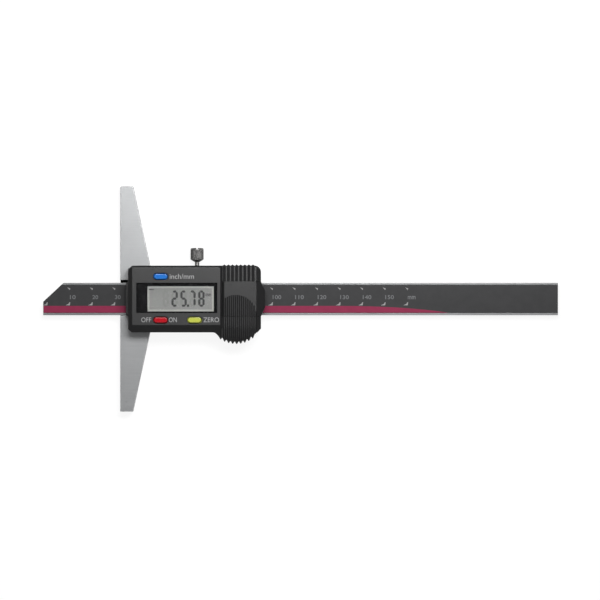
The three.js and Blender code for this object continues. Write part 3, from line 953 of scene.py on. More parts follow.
@dataclass(frozen=True)
class PrintedFilm(Finish):
    """Polyester film, printed on its back: smooth, with a slight ripple of the glue under it."""

    tones: Point = (0.95, 1.05)
    gloss: Point = (0.85, 1.15)
    depth: float = 0.002
    ripple: float = 4.0
    pebble: float = 0.2

    def pattern(self, tree: Tree, shader: Node) -> None:
        """Adds the glue's ripple and a fine pebble to the film.

        Args:
            tree: The material's node tree.
            shader: The material's shader.
        """
        pebble = self.noise(tree, self.pebble, detail=2)
        self.wire(tree, shader, self.noise(tree, self.ripple, detail=1), pebble, pebble)


@dataclass(frozen=True)
class BackPrint(Finish):
    """Ink on the back of a clear pane: bonded to it, so that it has no gloss of its own."""

    tones: Point = (0.85, 1.15)
    mottle: float = 1.5

    def pattern(self, tree: Tree, shader: Node) -> None:
        """Takes the gloss away and mottles the ink very slightly.

        Args:
            tree: The material's node tree.
            shader: The material's shader.
        """
        shader.inputs["Specular IOR Level"].default_value = 0.0
        self.wire(tree, shader, tone=self.noise(tree, self.mottle))


@dataclass(frozen=True)
class ClearAcrylic(Finish):
    """Cast acrylic: clear and polished, and it lets the lamps reach what lies behind it."""

    gloss: Point = (1.0, 2.0)
    wipe: Place = (6.0, 1.0, 6.0)  # size of the wiping marks

    def pattern(self, tree: Tree, shader: Node) -> None:
        """Makes the body clear for sight and for lamps, with faint wiping marks in its gloss.

        Args:
            tree: The material's node tree.
            shader: The material's shader.
        """
        shader.inputs["Transmission Weight"].default_value = 1.0
        self.wire(tree, shader, rough=self.noise(tree, self.wipe))
        path = add(tree, "ShaderNodeLightPath").outputs["Is Shadow Ray"]
        through = add(tree, "ShaderNodeBsdfTransparent")
        mixed = add(tree, "ShaderNodeMixShader", links={"Fac": path, "Shader": shader.outputs["BSDF"]})
        tree.links.new(through.outputs["BSDF"], mixed.inputs[2])
        tree.links.new(mixed.outputs["Shader"], tree.nodes["Material Output"].inputs["Surface"])


@dataclass(frozen=True)
class DisplayGlass(Finish):
    """A reflective liquid crystal display: grey and finely grained, with painted shade that darkens it
    towards its upper side, where the bezel's shadow falls.
    """

    tones: Point = (0.86, 1.12)
    grain: float = 0.18
    grain_share: float = 0.25  # how much of the pattern is grain
    slope_share: float = 0.3  # how much of it is the painted shade across the glass
    level: float = 0.38  # where the pattern starts

    def pattern(self, tree: Tree, shader: Node) -> None:
        """Paints shade that grades the grey darker from the lower side to the upper one, and grains it.

        Args:
            tree: The material's node tree.
            shader: The material's shader.
        """
        place = add(tree, "ShaderNodeTexCoord").outputs["Object"]
        split = add(tree, "ShaderNodeSeparateXYZ", links={"Vector": place})
        box = Box.of("lcd_panel")
        # painted shade: darker towards the upper side, under the bezel's shadow
        spread = {"From Min": box.lower * MM, "From Max": box.upper * MM, "To Min": 1.0, "To Max": 0.0}
        across = add(tree, "ShaderNodeMapRange", spread, {"Value": split.outputs["Y"]}).outputs["Result"]
        grain = self.sum_of(tree, self.noise(tree, self.grain, detail=2), self.grain_share, self.level)
        self.wire(tree, shader, tone=self.sum_of(tree, across, self.slope_share, grain))


@dataclass(frozen=True)
class SolderMask(Finish):
    """Epoxy glass board under green solder mask, with its tracks showing as paler lines."""

    tones: Point = (0.8, 1.5)
    depth: float = 0.01
    track: float = 1.27  # from one track to the next
    run: float = 6.0  # a track's length, in tracks
    gap: float = 0.12  # between tracks, as a share of their pitch
    weave: float = 0.5

    def pattern(self, tree: Tree, shader: Node) -> None:
        """Draws tracks a standard pitch apart and the weave of the glass cloth.

        Args:
            tree: The material's node tree.
            shader: The material's shader.
        """
        place = add(tree, "ShaderNodeTexCoord").outputs["Object"]
        scale = (1 / (self.run * self.track * MM), 1 / (self.track * MM), 1.0)
        laid = add(tree, "ShaderNodeMapping", {"Scale": scale}, {"Vector": place}).outputs["Vector"]
        rows = {"Scale": 1.0, "Mortar Size": self.gap, "Brick Width": 1.0, "Row Height": 1.0}
        tracks = add(tree, "ShaderNodeTexBrick", rows, {"Vector": laid}).outputs["Fac"]
        self.wire(tree, shader, tone=tracks, height=self.noise(tree, self.weave, detail=2))


@dataclass(frozen=True)
class Silicone(Finish):
    """Moulded silicone rubber: dull, soft to look at and faintly dusty."""

    tones: Point = (0.9, 1.12)
    depth: float = 0.01
    dust: float = 0.6

    def pattern(self, tree: Tree, shader: Node) -> None:
        """Adds the dust as a paler cloud and a fine relief.

        Args:
            tree: The material's node tree.
            shader: The material's shader.
        """
        dust = self.noise(tree, self.dust, detail=4)
        self.wire(tree, shader, tone=dust, height=dust)


SLOT_SHADE = "#1c1b1a"  # painted shade in the steel channel's slot
CHANNEL = Slot(middle=0.55, half=8.0, rim=6.05)  # where the beam slides, and where the crossbar gets painted shade
# the crossbar's steel, with painted shade in its channel
CROSSBAR_STEEL = GroundSteel("ground_tool_steel", "#959697", 0.48, greased=CHANNEL)
BEAM_STEEL = GroundSteel("ground_beam_steel", "#7f8081", 0.4, polished="#959697")
SCREW_STEEL = PlatedMetal("blackened_screw_steel", "#6d6e70", 0.38)
NICKEL = PlatedMetal("nickel_plate", "#868584", 0.38, haze=0.8)
CELL_NICKEL = PlatedMetal("nickel_plated_cell_steel", "#c6c5bf", 0.22)
BRASS = GroundSteel("milled_brass", "#c0a05c", 0.38, mark=0.25, polished="#d8bb7a")
BLACK_ABS = MouldedPlastic("black_abs", "#151516", 0.38, ior=1.56)
COVER_ABS = MouldedPlastic("black_cover_abs", "#131314", 0.42, ior=1.49)
BORDER_PRINT = BackPrint("black_window_border", "#131314", 0.5)
LABEL_FILM = PrintedFilm("charcoal_label_film", "#39393a", 0.2)
CRIMSON_PRINT = PrintedFilm("crimson_label_print", "#872a48", 0.2)
SCALE_PRINT = PrintedFilm("pale_scale_print", "#949393", 0.25)
NUMERAL_PRINT = PrintedFilm("grey_numeral_print", "#666769", 0.25)
KEY_PRINT = PrintedFilm("pale_grey_key_print", "#9a9a9b", 0.5)
ACRYLIC = ClearAcrylic("clear_acrylic", "#ffffff", 0.02, ior=1.49)
# both with painted shade towards the display's upper side
LCD = DisplayGlass("display_polariser", "#646563", 0.3)
LCD_GLASS = DisplayGlass("display_glass_edge", "#7f807c", 0.3)
SEGMENT = Finish("dark_display_segment", "#151718", 0.3)
FAINT_SEGMENT = Finish("unlit_display_segment", "#626361", 0.3)
REFLECTOR = PlatedMetal("satin_reflector_film", "#d0d1cc", 0.5)
WHITE_ABS = MouldedPlastic("white_abs", "#d9d8d2", 0.5, ior=1.54)
BLUE_KEY = MouldedPlastic("blue_abs_key", "#186cc3", 0.2, depth=0.003, ior=1.54)
RED_KEY = MouldedPlastic("red_abs_key", "#ad0015", 0.2, depth=0.003, ior=1.54)
YELLOW_KEY = MouldedPlastic("yellow_abs_key", "#b7bd4b", 0.2, depth=0.003, ior=1.54)
GREEN_BOARD = SolderMask("green_solder_mask", "#1f5a38", 0.35)
EPOXY = PrintedFilm("black_epoxy_drop", "#121213", 0.25)
GREY_SILICONE = Silicone("grey_silicone", "#8d8d90", 0.75)


@dataclass
class Crossbar:
    """The ground steel base and slider channel, with the gib that takes up its play."""

    edge: float = 0.25  # rounding of its long edges
    short_edge: float = 2.5  # shorter edges belong to drilled holes
    gib_edge: float = 0.1

    def build(self) -> None:
        """Makes the crossbar and dresses the gib and its screws."""
        bar = Solid.copy_of("base_frame").soften(self.edge, 3, longer_than(self.short_edge))
        bar.piece("crossbar", "head", CROSSBAR_STEEL, "ground_steel", ("base_frame",))
        remade("gib_strip", "gib_bar", "head", BRASS, "gib_brass", self.gib_edge)
        for side in ("left", "right"):
            remade(f"gib_set_screw_{side}", f"gib_screw_{side}", "head", SCREW_STEEL, "dark_steel")


@dataclass
class Beam:
    """The graduated beam with its printed label."""

    edge: float = 0.12
    short_edge: float = 2.15  # shorter edges belong to the holes of the stop screws
    label_edge: float = 0.04
    stripe_top: float = -3.05
    stripe_gap: float = 0.2  # of bare label below the stripe
    stripe_shoulder: float = 91.6  # from the measuring face to where the stripe starts to narrow
    stripe_end: float = 145.7
    stripe_bend: float = 2.6  # the power that the narrowing curve falls with
    zero: float = 2.0  # from the tip to the scale's zero
    division: float = 10.0
    divisions: int = 16
    upper_mark: Point = (1.35, 1.2)
    upper_mark_gap: float = 1.1  # below the label's upper edge
    lower_mark: Point = (2.15, 1.35)
    lower_mark_gap: float = 0.25  # above the stripe
    numeral_base: float = -0.1
    numeral_height: float = 1.85
    numeral_width: float = 1.28
    numeral_weight: float = 0.02
    numeral_lead: float = 0.15  # a numeral starts this far before its mark
    unit_size: Point = (1.35, 0.8)  # the unit's letter width and height, as shares of a numeral's

    # Corners of the two kinds of marks: how far left of the division and how far up, as shares.
    LOWER_CORNERS = ((1.0, 0.0), (0.08, 0.0), (0.0, 1.0), (0.16, 1.0), (0.36, 0.45))
    UPPER_CORNERS = ((1.0, 0.0), (0.1, -1.0), (0.0, -0.35))

    def build(self) -> None:
        """Makes the bar, its label, the print on it and the stop screws."""
        bar = Solid.copy_of("beam").soften(self.edge, 2, longer_than(self.short_edge))
        bar.piece("beam_bar", "beam", BEAM_STEEL, "beam_steel", ("beam",))
        dress(GREEN_BOARD, "scale_strip")
        remade("scale_label", "label_film", "beam", LABEL_FILM, "scale_print", self.label_edge, 1)
        self.stripe().piece("label_stripe", "beam", CRIMSON_PRINT, "scale_print")
        self.marks().piece("label_marks", "beam", SCALE_PRINT, "scale_print")
        self.numerals().piece("label_numerals", "beam", NUMERAL_PRINT, "scale_print")
        for number in (1, 2):
            node = f"beam_stop_screw_{number}"
            remade(node, f"stop_screw_{number}", "beam", SCREW_STEEL, "dark_steel", self.edge)

    def stripe(self) -> Solid:
        """The crimson stripe, which narrows in a long curve at its right end.

        Returns:
            The stripe's print.
        """
        label = Box.of("scale_label")
        bottom = label.lower + self.stripe_gap
        run, drop = self.stripe_end - self.stripe_shoulder, self.stripe_top - bottom
        curve = falling((self.stripe_shoulder, self.stripe_top), run, drop, self.stripe_bend, steps=16)
        outline = [
            (label.left + self.edge, bottom), (self.stripe_end, bottom), *reversed(curve),
            (label.left + self.edge, self.stripe_top),
        ]
        return Solid.prism(Plane.XY, outline, label.top, label.top + PRINT)

    def marks(self) -> Solid:
        """A pointed mark above and one below the numerals at each division.

        Returns:
            All the marks in one solid.
        """
        label = Box.of("scale_label")
        top = label.upper - self.upper_mark_gap
        base = self.stripe_top + self.lower_mark_gap
        lower = (self.LOWER_CORNERS, self.lower_mark, base)
        upper = (self.UPPER_CORNERS, self.upper_mark, top)
        made = Solid()
        for count in range(self.divisions + 1):
            x = label.left + self.zero + count * self.division
            for corners, (wide, high), y in (lower, upper) if count else (lower,):
                outline = [(x - wide * left, y + high * up) for left, up in corners]
                made.with_loose(Solid.prism(Plane.XY, outline, label.top, label.top + PRINT))
        return made

    def numerals(self) -> Solid:
        """The numerals, and the unit in the last place.

        Returns:
            All the numerals and the unit in one solid.
        """
        label = Box.of("scale_label")
        made = Solid()
        for count in range(1, self.divisions + 1):
            x = label.left + self.zero + count * self.division - self.numeral_lead
            unit = count == self.divisions
            text = "mm" if unit else str(int(count * self.division))
            wider, higher = self.unit_size if unit else (1, 1)
            width = self.numeral_width * len(text) * wider
            word = Lettering(text, x, x + width, self.numeral_base, self.numeral_height * higher)
            made.with_loose(word.solid(label.top, label.top + PRINT, self.numeral_weight))
        return made


@dataclass
class LockScrew:
    """The knurled screw that presses the gib against the beam."""

    neck: float = 1.6
    taper: float = 1.2
    taper_round: float = 0.25
    round_end: float = 0.7
    knurl: float = 0.11
    knurl_pitch: float = 0.42
    slot: Point = (0.6, 0.62)  # width and depth
    shank: float = 1.0
    around: int = 352  # facets round the head, fine enough for the knurl
    rows: int = 78  # of facets along the knurled stretch

    def build(self) -> None:
        """Turns the screw, presses the crossed knurl into its head and cuts its slot."""
        box = Box.of("lock_screw")
        radius = (box.right - box.left) / 2
        start = Box.of("main_board").upper + BOARD_MARGIN + self.neck
        rise = box.upper - start
        middle = Vector((box.x, start, box.z))
        straight = (self.taper, rise - self.round_end)
        rows = [
            (radius, straight[0] + (straight[1] - straight[0]) * row / self.rows)
            for row in range(self.rows + 1)
        ]
        under = [(self.shank, 0), (radius - self.taper_round, self.taper - self.taper_round)]
        _, *over = arc((radius - self.round_end, straight[1]), self.round_end, 0, QUARTER, steps=6)
        profile = [(0, box.lower - start), (self.shank, box.lower - start), *under, *rows, *over, (0, rise)]
        screw = Solid.turned(profile, middle, Vector((0, 1, 0)), self.around)
        for corner in screw.mesh.verts:
            height = corner.co.y - start
            if straight[0] - MERGE < height < straight[1] + MERGE:
                self.press(corner, middle, radius, height, straight)
        slot = Solid.block(
            (box.x - self.slot[0] / 2, box.x + self.slot[0] / 2),
            (box.upper - self.slot[1], box.upper + OVER),
            (box.bottom - OVER, box.top + OVER),
        )
        screw.cut(slot)
        screw.piece("knurled_lock_screw", "lock_screw", NICKEL, "screw_nickel", ("lock_screw",), smooth=20)

    def press(
        self, corner: bmesh.types.BMVert, middle: Vector, radius: float, height: float, straight: Point,
    ) -> None:
        """Presses a corner of the head in where a groove of the crossed knurl runs through it.

        Args:
            corner: The corner to move.
            middle: A point on the screw's axis.
            radius: The head's radius.
            height: How far up the head the corner lies.
            straight: Where the knurled stretch starts and ends.
        """
        out = Vector((corner.co.x - middle.x, 0, corner.co.z - middle.z))
        count = round(2 * math.pi * radius / self.knurl_pitch)
        turn = math.atan2(out.z, out.x) * count / (2 * math.pi)
        climb = height / self.knurl_pitch
        waves = [abs((turn + way * climb) % 1 - 0.5) * 2 for way in (1, -1)]
        fade = min(1.0, min(height - straight[0], straight[1] - height) / self.knurl_pitch * 2)
        depth = self.knurl * (1 - min(waves)) * max(0.0, fade)
        corner.co -= out.normalized() * depth


@dataclass
class Housing:
    """The moulded front housing, with its ridges, toothed grip and printed words."""

    ridge_proud: float = 0.5  # how far the ridges stand out from the head's upper side
    lip_reach: float = 1.1
    lip_half: float = 6.85
    lip_height: float = 5.0
    lip_edge: float = 0.25
    left_slope: Point = (1.8, 1.3)  # each slope's run and drop
    right_slope: Point = (2.0, 1.3)
    top_edge: Point = (0.9, 0.6)
    bottom_slope: Point = (3.3, 2.2)
    upper_cut: Point = (2.0, 1.5)  # the upper left corner's cut, along X and along Y
    lower_cut: float = 1.5  # the lower left corner's
    upper_round: float = 2.8  # the upper right corner's rounding
    corner: Point = (1.56, 1.7)  # the lower right corner's cut, along X and along Y
    edge: float = 0.17  # rounding of the moulded edges
    wall: float = 1.5
    roof: float = 1.6
    groove: Point = (0.6, 0.5)  # the parting groove's width left of the bay, and its depth
    groove_end: float = 1.0  # how far its other side leans over the grip
    window_gap: float = 0.1
    window_ledge: float = 0.4
    boss: float = 2.2
    screw_hole: float = 1.05
    screw_reach: float = 6.4
    ridge_pitch: float = 1.81
    ridges: int = 8
    ridge_start: float = 1.24  # from the battery bay's left edge
    ridge_half: float = 0.62
    ridge_depth: float = 0.37
    ridge_crest: Point = (0.06, 0.02)
    ridge_foot: float = 4.0
    ridge_bend: float = 0.9
    ridge_gap: float = 0.15  # of floor left and right of the ridges, and before they start
    ridge_root: float = 0.3  # how deep they reach into that floor
    grip_offset: float = 6.34  # from the battery bay's left edge
    grip_y: float = -7.4
    grip_radius: float = 12.57
    tooth: float = 1.1  # depth of the valleys between the teeth
    tooth_steps: int = 10
    tooth_bend: float = 2.0  # the power that makes the teeth pointed or blunt
    flare: float = 4.1  # how far left of the bay the flank starts
    flare_bend: float = 2.2  # the power that it falls with
    last_flank: Point = (0.65, 0.9)  # from the last tooth, along X, and out from the head's side
    grip_step: float = 0.8  # how far the grip's body reaches in past its curve
    grip_past: float = 0.6  # how far that curve runs on past the outermost teeth
    grip_fall: float = 8.6  # how far the grip's front curves down, towards its teeth
    grip_curve: float = 13.0  # radius of that curve in side view
    grip_bottom: float = 3.0
    grip_wall: float = 1.5
    channel_inset: float = 0.6  # from the housing's lower face in to the steel channel
    channel_gap: float = 0.3
    pad_radius: float = 9.2  # the thumb pad's round edge, where the thin grooves start
    pad_groove: Point = (0.3, 0.23)  # half width and depth of each thin groove
    pad_swing: float = 1.1  # how far the thin grooves follow the curved front, as a share of it
    bay_half: float = 7.85
    bay_gap: float = 0.15
    cell_gap: float = 0.3  # between the button cell and the cover
    cover_gap: float = 0.1  # above and below the cover's tongues
    board_gap: float = 0.1  # between the circuit board and the ribs over it
    tongue: float = 0.8  # how far the cover's tongues reach out from the bay's sides
    tongue_thick: float = 0.5
    rib: Point = (0.85, 1.85)  # how far the ribs reach in and out from the bay's sides
    bay_wall: float = 0.4

    # Each printed word: its key, the word, its left and right end, how far it starts below the key's
    # middle, and its height.
    WORDS = (
        ("inch_mm", "inch/mm", 22.2, 32.9, 1.1, 2.25),
        ("on_off", "OFF", 9.6, 14.0, 0.95, 2.1),
        ("on_off", "ON", 21.8, 25.3, 0.95, 2.1),
        ("zero", "ZERO", 37.1, 44.0, 0.95, 2.1),
    )

    def __post_init__(self) -> None:
        """Works out the places that several shapes share."""
        outside = Box.of("front_housing")
        board = Box.of("main_board")
        cover = Box.of("battery_cover")
        self.left = outside.left + self.lip_reach
        self.right = outside.right
        self.upper = board.upper + BOARD_MARGIN
        self.lower = board.lower - BOARD_MARGIN
        self.top = outside.top
        self.foot = board.bottom
        self.board_top = board.top
        self.cover_bottom = Box.of("coin_cell").top + self.cell_gap
        self.bay_left = cover.left - self.bay_gap
        self.first_ridge = self.bay_left + self.ridge_start
        self.last_ridge = self.first_ridge + (self.ridges - 1) * self.ridge_pitch
        self.grip_x = self.bay_left + self.grip_offset
        self.grip_low = self.grip_y - self.grip_radius - self.grip_past
        self.grip_turn = self.grip_low + self.grip_fall
        self.grip_angle = math.asin(self.grip_fall / self.grip_curve)
        self.channel_lower = self.lower + self.channel_inset

    def build(self) -> None:
        """Moulds the housing and prints its words."""
        shell = self.shell()
        shell.piece("front_shell", "head", BLACK_ABS, "housing_plastic", ("front_housing",))
        words = Solid()
        for key, text, left, right, sink, height in self.WORDS:
            word = Lettering(text, left, right, Box.of(f"{key}_button").y - sink, height)
            words.with_loose(word.solid(self.top, self.top + PRINT))
        words.piece("key_lettering", "head", KEY_PRINT, "housing_plastic")

    def shell(self) -> Solid:
        """The whole moulding.

        Returns:
            The housing's solid.
        """
        body = self.head()
        body.join(self.grip(), self.flare_body(), self.lip())
        body.cut(self.ridge_zone())
        body.join(self.ridge_set())
        body.cut(self.hollow(), self.grip_hollow(), *self.openings(), self.bay(), self.tongue_slots())
        body.cut(self.screw_holes(), self.parting_groove(), self.pad_grooves())
        return body

    def head(self) -> Solid:
        """The head's block with its cut corners, slopes and rounded edges.

        Returns:
            The head's solid, not yet hollow.
        """
        turn = (self.right - self.upper_round, self.upper - self.upper_round)
        outline = [
            (self.left, self.lower + self.lower_cut),
            (self.left + self.lower_cut, self.lower),
            (self.right - self.corner[0], self.lower),
            (self.right, self.lower + self.corner[1]),
            *arc(turn, self.upper_round, 0, QUARTER, steps=12),
            (self.left + self.upper_cut[0], self.upper),
            (self.left, self.upper - self.upper_cut[1]),
        ]
        made = Solid.prism(Plane.XY, outline, self.foot, self.top)
        for side in Side:
            self.slope(made, side)
        return made.soften(self.edge, 3, above(self.foot + MERGE), least=15)

    def slope(self, solid: Solid, side: Side) -> Solid:
        """Slices the face's slope at one side off a solid.

        Args:
            solid: The solid that reaches past the slope.
            side: The side that the slope faces.

        Returns:
            The same solid.
        """
        x, y, (run, drop) = {
            Side.LEFT: (self.left, 0, self.left_slope),
            Side.RIGHT: (self.right, 0, self.right_slope),
            Side.UPPER: (0, self.upper, self.top_edge),
            Side.LOWER: (0, self.lower, self.bottom_slope),
        }[side]
        return solid.slice((x, y, self.top - drop), (side.value[0] * drop, side.value[1] * drop, run))

    def tooth_line(self, start: float, end: float) -> list[Point]:
        """The toothed edge between two places along X: a wave of blunt teeth on a round front.

        Args:
            start: Where along X the edge starts.
            end: Where it ends.

        Returns:
            The edge's points from left to right.
        """
        step = self.ridge_pitch / self.tooth_steps
        counts = range(-2 * self.tooth_steps, self.ridges * self.tooth_steps)
        places = [self.first_ridge + count * step for count in counts]
        points = []
        for x in [start, *(place for place in places if start < place < end), end]:
            share = (x - self.first_ridge) / self.ridge_pitch % 1
            radius = self.grip_radius - self.tooth * math.sin(math.pi * share) ** self.tooth_bend
            points.append((x, self.grip_y - math.sqrt(radius ** 2 - (x - self.grip_x) ** 2)))
        return points

    def grip_outline(self, upper: float) -> list[Point]:
        """The toothed outline, from its left side to the head's cut corner."""
        return [
            (self.bay_left, upper),
            *self.tooth_line(self.bay_left, self.last_ridge),
            (self.last_ridge + self.last_flank[0], self.lower - self.last_flank[1]),
            (self.right, self.lower + self.corner[1]),
            (self.right, upper),
        ]

    def grip(self) -> Solid:
        """The grip's body: a toothed outline whose front rounds down to the teeth.

        Returns:
            The grip's solid, not yet hollow.
        """
        start = self.grip_turn + self.grip_step
        centre = (self.grip_turn, self.top - self.grip_curve)
        side = [
            (start, self.top),
            *arc(centre, self.grip_curve, QUARTER, QUARTER + self.grip_angle, steps=24),
            (self.grip_low, self.grip_bottom),
            (start, self.grip_bottom),
        ]
        made = Solid.prism(Plane.XY, self.grip_outline(start), self.grip_bottom - OVER, self.top + OVER)
        made.common(Solid.prism(Plane.YZ, side, self.left, self.right))
        return self.slope(made, Side.RIGHT).cut(self.beside_channel())

    def beside_channel(self) -> Solid:
        """The space that the steel channel takes, below the housing's foot."""
        return Solid.block(
            (self.left - OVER, self.right + OVER),
            (self.channel_lower - self.channel_gap, self.upper),
            (0, self.foot),
        )

    def flare_body(self) -> Solid:
        """The concave flank that leads from the head's side out to the first tooth.

        Returns:
            The flank's solid.
        """
        left = self.bay_left - self.flare
        inner = self.lower + self.wall
        teeth = self.tooth_line(self.first_ridge - self.ridge_pitch, self.bay_left + self.grip_wall)
        run, drop = teeth[0][0] - left, self.lower - teeth[0][1]
        curve = falling((left, self.lower), run, drop, self.flare_bend, steps=12)
        outline = [(left, inner), *curve, *teeth, (teeth[-1][0], inner)]
        made = Solid.prism(Plane.XY, outline, self.grip_bottom, self.top - self.bottom_slope[1])
        return self.slope(made, Side.LOWER).cut(self.beside_channel())

    def lip(self) -> Solid:
        """The lip that shields the beam where it leaves the head.

        Returns:
            The lip's solid.
        """
        outer = self.lip_half + self.lip_reach
        outline = [
            (self.left + OVER, -outer),
            (self.left, -outer),
            (self.left - self.lip_reach, -self.lip_half),
            (self.left - self.lip_reach, self.lip_half),
            (self.left, outer),
            (self.left + OVER, outer),
        ]
        made = Solid.prism(Plane.XY, outline, self.foot, self.foot + self.lip_height)
        return made.soften(
            self.lip_edge, pick=lambda edge: all(end.co.x < self.left + MERGE for end in edge.verts),
        )

    def ridge_zone(self) -> Solid:
        """What is taken off the face to leave the floor between the ridges."""
        margin = self.ridge_half + self.ridge_gap
        return Solid.block(
            (self.first_ridge - margin, self.last_ridge + margin),
            (self.bay_half, self.upper + OVER),
            (self.top - self.ridge_depth, self.top + OVER),
        )

    def ridge_set(self) -> Solid:
        """The ridges, which run over the face, bend over the top edge and end on the side.

        Returns:
            All the ridges in one solid.
        """
        made = Solid()
        bend, half = self.ridge_bend, self.ridge_half
        floor = self.top - self.ridge_depth
        root = floor - self.ridge_root
        crest, fall = self.ridge_crest
        start = self.bay_half + self.ridge_gap
        for count in range(self.ridges):
            x = self.first_ridge + count * self.ridge_pitch
            section = [
                (x - half, root), (x + half, root), (x + half, floor),
                (x + crest, self.top - fall), (x, self.top), (x - crest, self.top - fall), (x - half, floor),
            ]
            ridge = Solid()
            centre = Vector((x, self.upper + self.ridge_proud - bend, self.top - bend))
            face = ridge.face(Plane.XZ, section, start)
            end = ridge.draw(face, Vector((0, centre.y - start, 0)))
            end = ridge.swing(end, centre, Vector((1, 0, 0)), -QUARTER, steps=8)
            ridge.draw(end, Vector((0, 0, self.foot + self.ridge_foot - centre.z)))
            made.with_loose(ridge.turned_out())
        return made

    def hollow(self) -> Solid:
        """The space inside the head, without its screw bosses and the battery bay's ribs.

        Returns:
            What is cut out of the head.
        """
        run, drop = self.bottom_slope
        roof = self.top - self.roof
        section = [
            (self.lower + self.wall, self.foot - OVER),
            (self.upper - self.wall, self.foot - OVER),
            (self.upper - self.wall, roof),
            (self.lower + run, roof),
            (self.lower + self.wall, roof - drop + self.wall * drop / run),
        ]
        made = Solid.prism(Plane.YZ, section, self.left + self.wall, self.right - self.wall)
        ends = (self.foot - 2 * OVER, self.top)
        bosses = [Solid.post(place, self.boss, ends, steps=24) for place in self.screws()]
        inner, outer = self.bay_half - self.rib[0], self.bay_half + self.rib[1]
        walls = (
            ((self.bay_left, self.right), (inner, outer)),
            ((self.bay_left, self.right), (-outer, -inner)),
            ((self.bay_left - self.bay_wall, self.bay_left + self.bay_wall), (-outer, outer)),
        )
        rise = (self.board_top + self.board_gap, self.top)
        return made.cut(*bosses, *(Solid.block(x, y, rise) for x, y in walls))

    def grip_hollow(self) -> Solid:
        """The space inside the grip, open towards the back.

        Returns:
            What is cut out of the grip.
        """
        inside = self.grip_radius - self.tooth - self.grip_wall
        made = Solid.post(
            (self.grip_x, self.grip_y), inside, (self.grip_bottom - OVER, self.foot), steps=48,
        )
        return made.common(Solid.block(
            (self.bay_left, self.right),
            (self.lower - self.grip_radius, self.channel_lower - self.channel_gap),
            (0, self.foot),
        ))

    def openings(self) -> list[Solid]:
        """The window's seat, the view under it and the three key holes.

        Returns:
            What is cut out for each of them.
        """
        window = Box.of("display_window")
        roof, past = self.top - self.roof, self.top + OVER
        seat = Solid.over(window, (roof + self.window_ledge, past), self.window_gap)
        view = Solid.over(window.drawn_in(*VIEW_INSET), (roof - OVER, past), self.window_gap)
        holes = [Keys().hole(f"{name}_button", roof - OVER, self.top) for name in KEY_NAMES]
        return [seat, view, *holes]

    def screws(self) -> list[Point]:
        """Where the four housing screws stand."""
        boxes = [Box.of(f"housing_screw_{number}") for number in range(1, 5)]
        return [(box.x, box.y) for box in boxes]

    def screw_holes(self) -> Solid:
        """The blind holes in the bosses.

        Returns:
            All the holes in one solid, to be cut out.
        """
        ends = (self.foot - OVER, self.foot + self.screw_reach)
        holes = [Solid.post(place, self.screw_hole, ends, steps=16) for place in self.screws()]
        return Solid().with_loose(*holes)

    def bay(self) -> Solid:
        """The battery bay, from the cover's underside to the face."""
        return Solid.block(
            (self.bay_left, self.right + OVER),
            (-self.bay_half, self.bay_half),
            (self.cover_bottom - self.cover_gap, self.top + OVER),
        )

    def tongue_slots(self) -> Solid:
        """The slots that the cover's tongues run in."""
        reach = self.bay_half + self.tongue
        return Solid.block(
            (self.bay_left, self.right + OVER),
            (-reach, reach),
            (self.cover_bottom - self.cover_gap, self.cover_bottom + self.tongue_thick + self.cover_gap),
        )

    def parting_groove(self) -> Solid:
        """The groove between the display's end and the battery's.

        Returns:
            What is cut out of the face.
        """
        width, depth = self.groove
        left, right = self.bay_left - width, self.bay_left + self.groove_end
        section = [
            (left, self.top), (self.bay_left, self.top - depth), (right, self.top),
            (right, self.top + OVER), (left, self.top + OVER),
        ]
        return Solid.prism(Plane.XZ, section, self.grip_turn - OVER, self.upper + OVER)

    def pad_grooves(self) -> Solid:
        """Thin V-shaped grooves, from the thumb pad's round edge down over the curved front.

        Returns:
            All the grooves in one solid, to be cut out.
        """
        made = Solid()
        pitch = self.ridge_pitch / 2
        half, depth = self.pad_groove
        for count in range(-1, 2 * self.ridges):
            x = self.first_ridge + (count + 0.5) * pitch
            start = self.grip_y + math.sqrt(self.pad_radius ** 2 - (x - self.grip_x) ** 2)
            groove = Solid()
            vee = [(x - half, self.top), (x, self.top - depth), (x + half, self.top), (x, self.top + depth)]
            end = groove.draw(groove.face(Plane.XZ, vee, start), Vector((0, self.grip_turn - start, 0)))
            centre = Vector((x, self.grip_turn, self.top - self.grip_curve))
            groove.swing(end, centre, Vector((1, 0, 0)), self.grip_angle * self.pad_swing, steps=22)
            made.with_loose(groove.turned_out())
        return made


